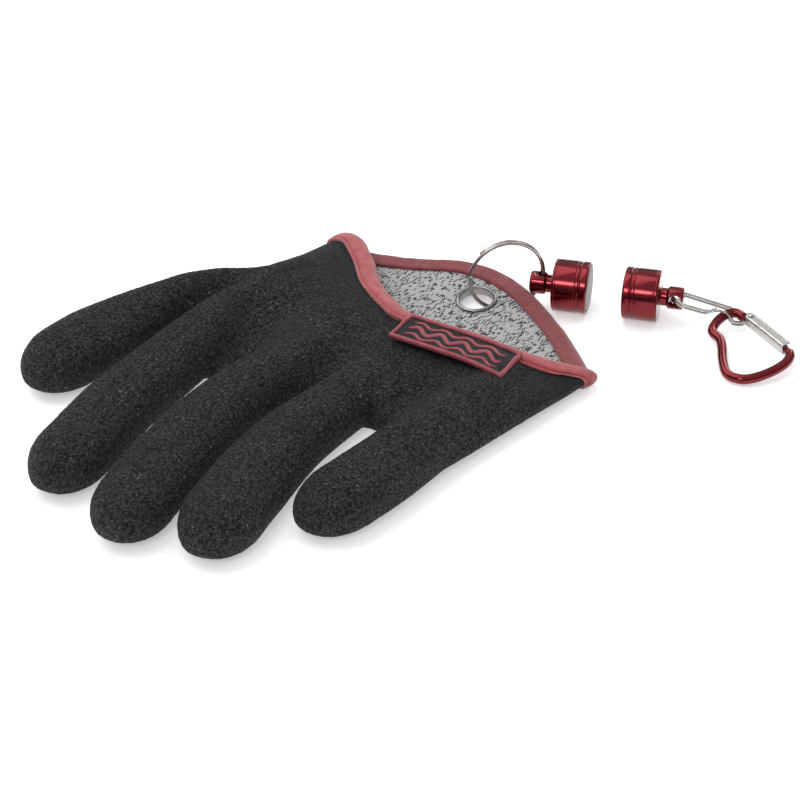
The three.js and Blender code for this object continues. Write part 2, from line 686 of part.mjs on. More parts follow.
// A group whose +Z is the axis of a magnet half and whose +X is up
function magnetGroup(name, faceAt, knobAway, holeDirection) {
  const axis = magnetLine.clone().multiplyScalar(knobAway);
  const up = new THREE.Vector3(0, 0, 1);
  const side = new THREE.Vector3().crossVectors(axis, up);
  const group = new THREE.Group();
  group.matrixAutoUpdate = false;
  group.matrix.makeBasis(up, side, axis).setPosition(faceAt.x, faceAt.y, MAGNET_RADIUS);
  const inGroup = new THREE.Vector3(holeDirection.dot(up), holeDirection.dot(side), holeDirection.dot(axis));
  const straight = new THREE.Quaternion().setFromUnitVectors(up.clone(), inGroup.normalize());
  const holeTurn = new THREE.Matrix4().makeRotationFromQuaternion(straight);
  addPiece("magnet_housing_" + name, housingSolid(holeTurn), "anodised", group);
  addPiece("magnet_disc_" + name, discSolid(), "magnet", group);
  glove.add(group);
  return group;
}

// Oval link: two turns of wire round a stadium, from the second knob down to the carabiner
const faceA = new THREE.Vector3(KNOB_HOLE_A.x, KNOB_HOLE_A.y, 0).addScaledVector(magnetLine, MAGNET_HOLE_AT);
const faceB = faceA.clone().addScaledVector(magnetLine, MAGNETS_APART);
const knobHoleB = faceB.clone().addScaledVector(magnetLine, MAGNET_HOLE_AT).setZ(MAGNET_RADIUS);

const linkAlong = new THREE.Vector3(Math.cos(LINK_ANGLE), Math.sin(LINK_ANGLE), -LINK_DROP).normalize();
const linkLevel = new THREE.Vector3(-linkAlong.y, linkAlong.x, 0).normalize();
const linkAcross = linkLevel.clone()
  .multiplyScalar(Math.cos(LINK_ROLL))
  .addScaledVector(new THREE.Vector3().crossVectors(linkAlong, linkLevel), -Math.sin(LINK_ROLL));

function linkSolid() {
  const along = linkAlong;
  const across = linkAcross;
  const up = new THREE.Vector3().crossVectors(along, across);
  const radius = LINK_WIDTH / 2;
  const straight = LINK_LENGTH - LINK_WIDTH;
  const round = Math.PI * radius;
  const whole = 2 * (straight + round);
  const begin = (LINK_BUMP_AT - radius + LINK_BUMP_REACH / 2) / whole; // both wire ends lie beside the bump
  return woundWire(
    (turn) => {
      const way = (((turn + begin) % 1) + 1) % 1 * whole;
      let a = 0;
      let c = 0;
      let bump = 0;
      let out;
      if (way < straight) {
        a = radius + way;
        c = -radius;
        const nearness = 1 - Math.abs(a - LINK_BUMP_AT) / LINK_BUMP_REACH;
        bump = LINK_BUMP * THREE.MathUtils.smoothstep(nearness, 0, 0.9);
        out = across.clone().negate();
      } else if (way < straight + round) {
        const angle = (way - straight) / radius - Math.PI / 2;
        a = radius + straight + radius * Math.cos(angle);
        c = radius * Math.sin(angle);
        out = along.clone().multiplyScalar(Math.cos(angle)).addScaledVector(across, Math.sin(angle));
      } else if (way < 2 * straight + round) {
        a = radius + straight - (way - straight - round);
        c = radius;
        out = across.clone();
      } else {
        const angle = (way - 2 * straight - round) / radius + Math.PI / 2;
        a = radius + radius * Math.cos(angle);
        c = radius * Math.sin(angle);
        out = along.clone().multiplyScalar(Math.cos(angle)).addScaledVector(across, Math.sin(angle));
      }
      const point = knobHoleB.clone()
        .addScaledVector(along, a - LINK_BACK)
        .addScaledVector(across, c)
        .addScaledVector(up, bump + LINK_PITCH * (turn - LINK_TURNS / 2));
      return { point, out, up };
    },
    LINK_TURNS,
    LINK_STEPS,
    LINK_WIRE,
    LINK_WIRE,
  );
}

// Carabiner in its own plane: middle line of the bar from the hinge round to the nose, as shares of its sizes
const CARABINER_BAR_LINE = [
  [0.1, 0.36], [0.06, 0.43], [-0.02, 0.472], [-0.13, 0.445], [-0.233, 0.377], [-0.333, 0.262], [-0.352, 0.17],
  [-0.267, 0.092], [-0.252, -0.05], [-0.267, -0.23], [-0.244, -0.426], [-0.13, -0.503], [0.02, -0.525],
  [0.278, -0.459], [0.53, -0.331], [0.633, -0.203], [0.6, -0.13],
];
const onCarabiner = ([a, b]) => new THREE.Vector3(a * CARABINER_WIDTH, b * CARABINER_LENGTH, 0);
const HINGE_AT = new THREE.Vector2(0.181 * CARABINER_WIDTH, 0.341 * CARABINER_LENGTH);
const NOSE_AT = new THREE.Vector2(0.57 * CARABINER_WIDTH, -0.082 * CARABINER_LENGTH);

// A flat tongue from the bar's end to a point, with a round end
function tongueSolid(from, to, wide) {
  const toward = to.clone().sub(from);
  const turn = Math.atan2(toward.y, toward.x);
  const half = wide / 2;
  const shape = new THREE.Shape();
  shape.moveTo(0, -half);
  shape.lineTo(toward.length(), -half);
  shape.absarc(toward.length(), 0, half, -Math.PI / 2, Math.PI / 2, false);
  shape.lineTo(0, half);
  shape.closePath();
  const options = { depth: TONGUE_WALL, bevelEnabled: false, curveSegments: 4 };
  const geometry = new THREE.ExtrudeGeometry(shape, options);
  geometry.translate(0, 0, -TONGUE_WALL / 2);
  geometry.rotateZ(turn);
  geometry.translate(from.x, from.y, 0);
  return fromGeometry(geometry);
}

function carabinerBody() {
  const points = CARABINER_BAR_LINE.map(onCarabiner);
  const curve = new THREE.CatmullRomCurve3(points);
  const rings = [];
  for (let i = 0; i <= BAR_STEPS; i++) {
    const point = curve.getPointAt(i / BAR_STEPS);
    const forward = curve.getTangentAt(i / BAR_STEPS);
    const out = new THREE.Vector3(forward.y, -forward.x, 0);
    const ring = [];
    for (let k = 0; k < BAR_SIDES; k++) {
      const turn = (2 * Math.PI * (k + 0.5)) / BAR_SIDES;
      const radius = CARABINER_BAR / 2 / Math.cos(Math.PI / BAR_SIDES);
      ring.push(point.clone().addScaledVector(out, radius * Math.cos(turn)).setZ(radius * Math.sin(turn)));
    }
    rings.push(ring);
  }
  const flat = (v) => new THREE.Vector2(v.x, v.y);
  const pinHole = pin(RIVET_RADIUS + GAP, CARABINER_BAR, PIN_SIDES);
  const hinge = new THREE.Matrix4().makeTranslation(HINGE_AT.x, HINGE_AT.y, 0);
  return loft(rings)
    .add(tongueSolid(flat(points[1]), HINGE_AT, HINGE_TONGUE))
    .add(tongueSolid(flat(points[points.length - 2]), NOSE_AT, NOSE_TONGUE))
    .subtract(moved(pinHole, hinge));
}

// Gate: a folded sheet, two cheeks joined by a web on the inner side, along +X from the rivet
const gateLine = NOSE_AT.clone().sub(HINGE_AT);
const GATE_PAST_NOSE = 1;
const GATE_LENGTH = gateLine.length() + GATE_PAST_NOSE;

function gateSolid() {
  const half = GATE_WIDTH / 2;
  const shape = new THREE.Shape();
  shape.moveTo(GATE_LENGTH, -half);
  shape.lineTo(GATE_LENGTH, half);
  shape.lineTo(0, half);
  shape.absarc(0, 0, half, Math.PI / 2, (3 * Math.PI) / 2, false);
  shape.closePath();
  const rivet = new THREE.Path();
  rivet.absarc(0, 0, RIVET_RADIUS + GAP, 0, 2 * Math.PI, true);
  shape.holes.push(rivet);
  const cheek = (z) => {
    const options = { depth: GATE_SHEET, bevelEnabled: false, curveSegments: 6 };
    const geometry = new THREE.ExtrudeGeometry(shape, options);
    geometry.translate(0, 0, z);
    return fromGeometry(geometry);
  };
  const webStart = half + GAP;
  const webLength = GATE_LENGTH - webStart;
  const web = new THREE.BoxGeometry(webLength, GATE_SHEET, GATE_HEIGHT);
  web.translate(webStart + webLength / 2, -half + GATE_SHEET / 2, 0);
  return cheek(GATE_HEIGHT / 2 - GATE_SHEET).add(cheek(-GATE_HEIGHT / 2)).add(fromGeometry(web));
}

const RIVET_HEAD_RADIUS = 1.3;
const RIVET_HEAD_WALL = 0.4;

function rivetSolid() {
  const reach = GATE_HEIGHT / 2 + GAP;
  const top = reach + RIVET_HEAD_WALL;
  const upper = [[RIVET_RADIUS, reach], [RIVET_HEAD_RADIUS, reach], [RIVET_HEAD_RADIUS, top], [0, top]];
  const lower = upper.map(([radius, height]) => [radius, -height]).reverse();
  return turned([...lower, ...upper], PIN_SIDES);
}

addPiece("glove_shell", palmShell(), "coating");
FINGERS.forEach((finger, i) => addPiece(finger.name, fingerShell(finger, FINGERS[i - 1]), "coating"));
addPiece("knit_lining", liningSolid(), "knit");
addPiece("cuff_binding", bindingSolid(), "binding");
addPiece("label_patch", labelPatchSolid(), "rubber");
addPiece("label_border", labelFrameSolid(), "frame");
addPiece("eyelet", eyeletSolid(), "steel");
addPiece("split_ring", splitRingSolid(), "steel");

// The hole of the first knob follows the wire of the upright ring, and the second one the end of the link
const ringWireThere = ringLine.clone().multiplyScalar(RING_RADIUS - MAGNET_RADIUS).setZ(RING_KNOB_REACH);
magnetGroup("a", faceA, -1, ringWireThere);
magnetGroup("b", faceB, 1, linkAcross);
addPiece("oval_link", linkSolid(), "steel");

// The carabiner rests on the surface at its lowest place and on the link at its hinge
const carabiner = new THREE.Group();
carabiner.rotation.order = "ZXY";
carabiner.rotation.set(CARABINER_TILT, -CARABINER_LEAN, CARABINER_ANGLE);
const barHeights = CARABINER_BAR_LINE.map((place) => onCarabiner(place).applyEuler(carabiner.rotation).z);
const carabinerHeight = GAP + CARABINER_BAR / 2 - Math.min(...barHeights);
const hookOnBar = new THREE.Vector3(BAR_HOOK.x, BAR_HOOK.y, 0).applyEuler(carabiner.rotation);
const hook = knobHoleB.clone()
  .addScaledVector(linkAlong.clone().setZ(0).normalize(), LINK_HOOK.x - LINK_BACK)
  .addScaledVector(linkLevel, LINK_HOOK.y)
  .sub(hookOnBar);
carabiner.position.set(hook.x, hook.y, carabinerHeight);
addPiece("carabiner_body", carabinerBody(), "anodised", carabiner);
const gateFrame = new THREE.Group();
gateFrame.position.set(HINGE_AT.x, HINGE_AT.y, 0);
gateFrame.rotation.z = Math.atan2(gateLine.y, gateLine.x);
addPiece("carabiner_gate", gateSolid(), "steel", gateFrame);
addPiece("gate_rivet", rivetSolid(), "steel", gateFrame);
carabiner.add(gateFrame);
glove.add(carabiner);

export default glove;
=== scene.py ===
"""Fishing glove with a magnetic release clip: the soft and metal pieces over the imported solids."""
import math

import bmesh
import bpy
import numpy as np
from mathutils import Matrix, Vector
from mathutils.bvhtree import BVHTree


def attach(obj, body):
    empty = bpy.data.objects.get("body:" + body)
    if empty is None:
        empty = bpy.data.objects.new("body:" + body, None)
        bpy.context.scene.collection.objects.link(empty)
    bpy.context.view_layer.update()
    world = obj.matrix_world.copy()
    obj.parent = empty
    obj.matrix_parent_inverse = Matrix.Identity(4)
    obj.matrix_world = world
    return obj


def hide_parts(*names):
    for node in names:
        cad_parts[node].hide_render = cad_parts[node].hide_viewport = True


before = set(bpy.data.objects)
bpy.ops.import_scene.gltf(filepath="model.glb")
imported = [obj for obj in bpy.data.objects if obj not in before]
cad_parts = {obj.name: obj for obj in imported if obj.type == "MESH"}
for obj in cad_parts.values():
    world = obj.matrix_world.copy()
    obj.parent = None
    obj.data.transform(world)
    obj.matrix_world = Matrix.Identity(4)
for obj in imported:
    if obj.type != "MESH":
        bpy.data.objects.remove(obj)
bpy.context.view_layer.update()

MM = 0.001
ROOT = "glove"

# The glove's driving sizes in millimetres, as in its solids
CUFF_REACH = 77
HAND_SPAN = 158
PALM_HEIGHT = 19
CUFF_LIFT_LENGTH = 39
CUFF_LIFT_SLOPE = 0.13
CLOTH_WALL = 2.4
TAPE_WIDTH = 6
TAPE_GAP = 0.25
TAPE_WALL = 0.9
GAP = 0.3
EYELET_AT = (CUFF_REACH - 16, 0)
EYELET_HOLE_RADIUS = 6.2
EYELET_FLANGE_RADIUS = 7.7
CLOTH_HOLE_RADIUS = EYELET_HOLE_RADIUS + 0.9
UNDER_TAPE = -TAPE_WIDTH - 1
SKIN_VOXEL = 0.9
POCKET_START = 4.0


def smooth_table(rows):
    """A smooth function through the rows (place, value)."""
    place, value = np.array(rows, float).T
    index = np.arange(len(place))
    before = np.maximum(index - 1, 0)
    after = np.minimum(index + 1, len(place) - 1)
    slope = (value[after] - value[before]) / (place[after] - place[before])

    def at(x):
        x = np.clip(x, place[0], place[-1])
        i = np.clip(np.searchsorted(place, x, side="right") - 1, 0, len(place) - 2)
        span = place[i + 1] - place[i]
        t = (x - place[i]) / span
        t2, t3 = t * t, t * t * t
        return (
            (2 * t3 - 3 * t2 + 1) * value[i]
            + (t3 - 2 * t2 + t) * span * slope[i]
            + (3 * t2 - 2 * t3) * value[i + 1]
            + (t3 - t2) * span * slope[i + 1]
        )

    return at


def smoothstep(x, low, high):
    t = np.clip((np.asarray(x, float) - low) / (high - low), 0, 1)
    return t * t * (3 - 2 * t)


# The skin's fineness: rows and half columns of the palm, and passes of smoothing over the voxels
PALM_ROWS = 60
PALM_SIDES = 110
EVEN_PASSES = 10
KNUCKLE_PASSES = 8
VALLEY_PASSES = 5

# Outline, heights and ends of the palm, as shares of the cuff reach, the span and the palm height
near_share = smooth_table([(-0.65, -0.392), (-0.26, -0.402), (0.26, -0.405), (0.68, -0.409), (1.04, -0.409)])
far_share = smooth_table([(-0.65, 0.53), (-0.39, 0.52), (-0.1, 0.49), (0.09, 0.455), (0.31, 0.42),
                          (0.44, 0.405), (0.68, 0.39), (1.04, 0.385)])
crown_share = smooth_table([(-0.65, 0.9), (-0.26, 1.03), (0.08, 0.97), (0.3, 0.85), (0.42, 0.81),
                            (0.68, 0.83), (1.04, 0.83)])
near_fold = smooth_table([(-0.65, 0.42), (0, 0.4), (0.68, 0.26)])
far_fold = smooth_table([(-0.65, 0.42), (0, 0.42), (0.68, 0.47)])
near_round = smooth_table([(-0.65, 0.2), (0, 0.22), (0.68, 0.42)])
far_round = smooth_table([(-0.65, 0.2), (0, 0.2), (0.68, 0.13)])
upper_end = smooth_table([(0, 0.655), (0.03, 0.59), (0.08, 0.51), (0.14, 0.455), (0.2, 0.425), (0.28, 0.4),
                          (0.35, 0.37), (0.43, 0.33), (0.5, 0.31), (0.56, 0.34), (0.63, 0.385), (0.7, 0.445),
                          (0.78, 0.54), (0.84, 0.6), (0.91, 0.665), (1, 0.695)])
lower_end = smooth_table([(0, 0.655), (0.03, 0.675), (0.12, 0.76), (0.22, 0.845), (0.37, 0.945), (0.5, 0.995),
                          (0.62, 0.985), (0.7, 0.94), (0.78, 0.865), (0.86, 0.8), (0.93, 0.755), (0.97, 0.73),
                          (1, 0.695)])
# The skin's own front, further back and lower than the solid's, so that the fingers stand out as ridges
skin_front = smooth_table([(0, -0.3), (0.12, -0.3), (0.22, -0.28), (0.3, -0.3), (0.38, -0.42), (0.47, -0.55),
                           (0.56, -0.54), (0.66, -0.5), (0.76, -0.46), (0.88, -0.35), (1, -0.1)])
skin_sink = smooth_table([(-0.65, 10), (-0.5, 9.5), (-0.35, 7.5), (-0.2, 5.2), (-0.05, 3), (0.12, 1),
                          (0.28, 0)])
UNDER_ROUND = 0.07
FOLD_BLEND = 0.09


def near_edge(x):
    return HAND_SPAN * near_share(x / CUFF_REACH)


def far_edge(x):
    return HAND_SPAN * far_share(x / CUFF_REACH)


def underside(x):
    return np.maximum(0, CUFF_LIFT_SLOPE * (x - CUFF_REACH + CUFF_LIFT_LENGTH))


def rise(across, near, far):
    least = np.minimum(np.minimum(across / near, 1), np.minimum((1 - across) / far, 1))
    return np.sqrt(np.maximum(0, 1 - (1 - least) ** 2))


def layer_points(upper, x, across, depth):
    """Points on the upper or lower layer of the palm, sunk below its outer face, in millimetres."""
    along = x / CUFF_REACH
    near = near_edge(x) + depth
    far = far_edge(x) - depth
    fold = PALM_HEIGHT * (near_fold(along) * (1 - across) + far_fold(along) * across)
    crown = PALM_HEIGHT * crown_share(along) - depth
    top = fold + (crown - fold) * rise(across, near_round(along), far_round(along))
    low = np.maximum(0, underside(x) + depth)
    bottom = fold - (fold - low) * rise(across, UNDER_ROUND, UNDER_ROUND)
    return np.stack([x, near + across * (far - near), np.where(upper, top, bottom)], -1)


class Columns:
    """Places round the palm: over the back from the near fold, and home under it."""

    def __init__(self, sides):
        self.count = 2 * sides
        index = np.arange(self.count)
        self.upper = index <= sides
        turn = np.where(self.upper, index / sides, 2 - index / sides)
        self.across = (1 - np.cos(np.pi * turn)) / 2
        self.end = CUFF_REACH * np.where(self.upper, upper_end(self.across), lower_end(self.across))
        y = near_edge(self.end) + self.across * (far_edge(self.end) - near_edge(self.end))
        self.edge = np.stack([self.end, y], -1)
        tangent = np.roll(self.edge, -1, 0) - np.roll(self.edge, 1, 0)
        tangent[~self.upper] *= -1
        square = np.stack([tangent[:, 1], -tangent[:, 0]], -1)
        square /= np.linalg.norm(square, axis=1)[:, None]
        self.from_fold = smoothstep(np.minimum(self.across, 1 - self.across), 0, FOLD_BLEND)
        share = 0.75 * self.from_fold[:, None]
        out = np.array([1.0, 0.0]) * (1 - share) + square * share
        self.out = out / np.linalg.norm(out, axis=1)[:, None]
        facing = 1 + ((self.out * square).sum(1) - 1) * self.from_fold
        self.stretch = 1 / np.maximum(0.6, facing)

    def place(self, distance):
        """Where the columns come to when the cuff's edge is moved out by a distance."""
        at = self.edge + (distance * self.stretch)[:, None] * self.out
        x, y = at.T
        shifted = np.clip((y - near_edge(x)) / (far_edge(x) - near_edge(x)), 0, 1)
        return x, self.across + (shifted - self.across) * self.from_fold

    def ring(self, distance, depth):
        x, across = self.place(distance)
        return layer_points(self.upper, x, across, depth)


def mesh_object(name, points, faces, smooth=True):
    """A mesh object from points in millimetres."""
    mesh = bpy.data.meshes.new(name)
    mesh.from_pydata((np.asarray(points) * MM).tolist(), [], [list(map(int, face)) for face in faces])
    mesh.polygons.foreach_set("use_smooth", [smooth] * len(mesh.polygons))
    mesh.update()
    piece = bpy.data.objects.new(name, mesh)
    bpy.context.scene.collection.objects.link(piece)
    return piece


def grid_faces(rows, columns, close_rows=False, close_columns=False, base=0):
    """Quads over a grid of points stored row by row."""
    i, j = np.meshgrid(
        np.arange(rows if close_rows else rows - 1), np.arange(columns if close_columns else columns - 1),
        indexing="ij",
    )
    next_i, next_j = (i + 1) % rows, (j + 1) % columns
    row, next_row = i * columns, next_i * columns
    return np.stack([row + j, row + next_j, next_row + next_j, next_row + j], -1).reshape(-1, 4) + base


def soft_noise(points, wavelength, seed):
    """Smooth noise between -1 and 1 at points in millimetres."""
    size = 64
    lattice = np.random.default_rng(seed).uniform(-1, 1, (size, size, size))
    place = np.asarray(points) / wavelength
    base = np.floor(place).astype(int)
    t = place - base
    t = t * t * (3 - 2 * t)
    total = np.zeros(len(place))
    for corner in range(8):
        step = np.array([(corner >> k) & 1 for k in range(3)])
        weight = np.prod(np.where(step, t, 1 - t), axis=1)
        x, y, z = ((base + step) % size).T
        total += weight * lattice[x, y, z]
    return total


# Fingers as the photograph shows them, puffier than their solids: half width at the root and
# beyond it, and middle line from the root to the tip, in millimetres
FINGERS = {
    "thumb": (11.5, 13.3, [(26, -43), (10, -46), (-8, -49), (-30, -51), (-50, -52), (-69, -52),
                           (-84.5, -50.5)]),
    "index": (11.5, 14.2, [(6, -8), (-12, -12), (-31, -14.5), (-44, -15.8), (-56, -17.5), (-69, -20.8),
                           (-90, -27.2), (-103, -32), (-118, -36.5)]),
    "middle": (12, 13.8, [(4, 16), (-16, 16.2), (-33, 15), (-52, 13.6), (-76, 8.4), (-99, 1.6), (-115, -4.2),
                          (-131.3, -9.5)]),
    "ring": (11, 13.2, [(28, 51), (12, 54.5), (-2, 55.5), (-14, 54), (-30, 50.6), (-53, 46.2), (-78, 41.2),
                        (-103, 33.6), (-127, 27)]),
    "little": (9, 14.4, [(12, 57), (3, 64), (-7, 69.5), (-18, 73.5), (-34, 76.5), (-52, 78.6), (-70, 78),
                          (-88.5, 75.5)]),
}
FINGER_MIDDLE = 9.6
FINGER_TOP = 19.8
BELLY = 1.25


def centripetal_line(path, count):
    """Points spaced evenly by length along a smooth line through the path."""
    path = np.array(path, float)
    ends = np.vstack([2 * path[0] - path[1], path, 2 * path[-1] - path[-2]])
    t = np.linspace(0, 1, 24, endpoint=False)[:, None]
    pieces = []
    for a, b, c, d in zip(ends, ends[1:], ends[2:], ends[3:]):
        pieces.append(0.5 * (2 * b + (c - a) * t + (2 * a - 5 * b + 4 * c - d) * t**2
                             + (3 * b - a - 3 * c + d) * t**3))
    line = np.vstack(pieces + [path[-1:]])
    run = np.concatenate([[0], np.cumsum(np.linalg.norm(np.diff(line, axis=0), axis=1))])
    share = np.linspace(0, run[-1], count)
    return np.stack([np.interp(share, run, line[:, k]) for k in range(line.shape[1])], 1), run[-1]


def directions(line):
    """Unit vectors along a line of points."""
    forward = np.gradient(line, axis=0)
    return forward / np.linalg.norm(forward, axis=1)[:, None]


def full_turn(sides):
    return np.linspace(0, 2 * np.pi, sides, endpoint=False)


def finger_points(root_half, half_width, path, sides=48, count=150):
    line, length = centripetal_line(path, count)
    forward = directions(line)
    sideways = np.stack([-forward[:, 1], forward[:, 0]], 1)
    along = np.linspace(0, 1, count)
    to_tip = (1 - along) * length
    tip = np.clip(1 - to_tip / (1.45 * half_width), 0, 1)
    rounding = np.sqrt(np.maximum(0.0004, 1 - tip**2))
    half = (root_half + (half_width - root_half) * smoothstep(along, 0.25, 0.75)) * rounding
    middle = FINGER_MIDDLE - 1.2 * tip
    sunk = 3.2 * (1 - smoothstep(along, 0.0, 0.35))
    top = middle + (FINGER_TOP - sunk - middle) * rounding**0.9
    bottom = middle * (1 - rounding**0.8)
    turn = full_turn(sides)
    c, s = np.cos(turn), np.sin(turn)
    sink = np.tanh(-s * BELLY) / np.tanh(BELLY)
    rings = []
    for i in range(count):
        z = np.where(s >= 0, middle[i] + (top[i] - middle[i]) * s, middle[i] - (middle[i] - bottom[i]) * sink)
        xy = line[i] + (half[i] * c)[:, None] * sideways[i]
        rings.append(np.column_stack([xy, z]))
    return np.array(rings)


def closed_tube(rings):
    """Points and faces of a tube of rings with flat ends."""
    rows, sides, _ = rings.shape
    faces = [tuple(face) for face in grid_faces(rows, sides, close_columns=True)]
    faces.append(tuple(range(sides))[::-1])
    faces.append(tuple(range((rows - 1) * sides, rows * sides)))
    return rings.reshape(-1, 3), faces


def palm_body():
    """The closed palm, and which of its faces close the cuff."""
    columns = Columns(PALM_SIDES)
    inner_x, inner_across = columns.place(UNDER_TAPE)
    start = CUFF_REACH * skin_front(columns.across)
    rings = []
    for t in np.linspace(0, 1, PALM_ROWS, endpoint=False):
        x = start + (inner_x - start) * t
        across = columns.across + (inner_across - columns.across) * t * t
        ring = layer_points(columns.upper, x, across, 0)
        ring[:, 2] -= np.where(columns.upper, skin_sink(x / CUFF_REACH) * ring[:, 2] / PALM_HEIGHT, 0)
        rings.append(ring)
    for distance in (UNDER_TAPE, -5, -3, -1, 0):
        rings.append(columns.ring(distance, 0))
    points = np.concatenate(rings)
    sides = columns.count
    faces = [tuple(face) for face in grid_faces(len(rings), sides, close_columns=True)]
    last = (len(rings) - 1) * sides
    caps = []
    for base, flip in ((0, True), (last, False)):
        for j in range(sides // 2):
            quad = [j, j + 1, sides - j - 1, (sides - j) % sides]
            quad = [base + k for k in dict.fromkeys(quad)]
            if len(quad) > 2:
                faces.append(tuple(quad[::-1] if flip else quad))
                if base:
                    caps.append(len(faces) - 1)
    return points, faces, set(caps)


def neighbour_mean(points, edges):
    """The mean of each point's neighbours."""
    count = len(points)
    total = np.empty_like(points)
    ends = np.concatenate([edges[:, 0], edges[:, 1]])
    others = np.concatenate([edges[:, 1], edges[:, 0]])
    number = np.bincount(ends, minlength=count)
    for k in range(3):
        total[:, k] = np.bincount(ends, weights=points[others, k], minlength=count)
    return total / np.maximum(number, 1)[:, None]


# Valleys that run on up the back from between the fingers: x, y, depth and half width in millimetres
VALLEYS = [
    [(-30, 64.5, 5, 3), (-20, 64, 5, 3.5), (-8, 63.5, 4, 4), (4, 62, 2, 5), (14, 60, 0, 6)],
    [(-44, 31, 3, 5), (-30, 33, 5.5, 6.5), (-14, 36, 5.5, 8), (2, 38, 3.8, 9), (20, 40, 0, 11)],
    [(-44, -2, 4.5, 3.5), (-32, -1, 5.5, 4.5), (-20, 0.5, 5.2, 5.5), (-7, 1.5, 4, 7), (8, 2, 1.5, 9),
     (20, 2, 0, 9)],
    [(-26, -31, 4, 5), (-16, -31.5, 5, 6), (-5, -31.5, 4.4, 8), (10, -31, 1.5, 10), (22, -31, 0, 10)],
]


def valley_depth(points):
    """How far the back is drawn down at each point by the valleys."""
    depth = np.zeros(len(points))
    for rows in VALLEYS:
        line, _ = centripetal_line(rows, 120)
        gap = points[:, None, :2] - line[None, :, :2]
        distance = np.linalg.norm(gap, axis=2)
        nearest = distance.argmin(1)
        least = distance[np.arange(len(points)), nearest]
        depth = np.maximum(depth, line[nearest, 2] * np.exp(-((least / line[nearest, 3]) ** 2)))
    return depth


# Soft swells of the skin: height and wavelength in millimetres, and seed
SKIN_PUFFS = [(0.55, 26, 3), (0.28, 11, 4), (0.12, 5, 5)]


def glove_skin():
    """The coated outside of the glove: palm and fingers melted together, open at the cuff."""
    points, faces, caps = palm_body()
    palm_tree = BVHTree.FromPolygons(points.tolist(), faces)
    all_points, all_faces = [points], list(faces)
    base = len(points)
    for root_half, half_width, path in FINGERS.values():
        finger, finger_faces = closed_tube(finger_points(root_half, half_width, path))
        all_faces += [tuple(k + base for k in face) for face in finger_faces]
        all_points.append(finger)
        base += len(finger)
    raw = mesh_object("raw_skin", np.concatenate(all_points), all_faces)
    voxels = raw.modifiers.new("voxels", "REMESH")
    voxels.mode = "VOXEL"
    voxels.voxel_size = SKIN_VOXEL * MM
    made = raw.evaluated_get(bpy.context.evaluated_depsgraph_get())
    mesh = made.to_mesh()
    points = np.empty(len(mesh.vertices) * 3)
    mesh.vertices.foreach_get("co", points)
    points = points.reshape(-1, 3) / MM
    faces = [tuple(polygon.vertices) for polygon in mesh.polygons]
    edges = np.empty(len(mesh.edges) * 2, dtype=int)
    mesh.edges.foreach_get("vertices", edges)
    edges = edges.reshape(-1, 2)
    made.to_mesh_clear()
    bpy.data.objects.remove(raw)

    at_cuff = smoothstep(points[:, 0], 12, 26)[:, None]
    for step in range(EVEN_PASSES):
        share = 0.5 if step % 2 == 0 else -0.52
        points += share * (neighbour_mean(points, edges) - points)
    knuckles = (smoothstep(points[:, 0], -78, -62) * (1 - smoothstep(points[:, 0], 6, 20)))[:, None]
    for _ in range(KNUCKLE_PASSES):
        points += 0.5 * knuckles * (neighbour_mean(points, edges) - points)
    points[:, 2] -= smoothstep(points[:, 2], 4, 11) * valley_depth(points)
    for _ in range(VALLEY_PASSES):
        points += 0.5 * knuckles * (neighbour_mean(points, edges) - points)

    above = smoothstep(points[:, 2], 1.5, 6)
    puff = sum(height * soft_noise(points, wavelength, seed) for height, wavelength, seed in SKIN_PUFFS)
    points[:, 2] += above * (1 - at_cuff[:, 0]) * puff
    roughness = 0.09 * (1 - 0.75 * at_cuff)
    points += roughness * np.random.default_rng(9).uniform(-1, 1, points.shape)
    points[:, 2] = np.maximum(points[:, 2], 0.02)

    reach = np.hypot(points[:, 0] - EYELET_AT[0], points[:, 1] - EYELET_AT[1])
    in_eyelet = (reach < CLOTH_HOLE_RADIUS) & (points[:, 2] < 9)
    kept = []
    for face in faces:
        if all(in_eyelet[k] for k in face):
            continue
        centre = points[list(face)].mean(0)
        if centre[0] > 8 and palm_tree.find_nearest(centre.tolist())[2] in caps:
            continue
        kept.append(face)
    rim = in_eyelet & (reach > 0.1)
    for k in range(2):
        points[rim, k] = EYELET_AT[k] + (points[rim, k] - EYELET_AT[k]) * CLOTH_HOLE_RADIUS / reach[rim]
    used = np.unique(np.concatenate([np.array(face) for face in kept]))
    renumber = np.full(len(points), -1)
    renumber[used] = np.arange(len(used))
    return mesh_object("coated_skin", points[used], [renumber[list(face)] for face in kept])


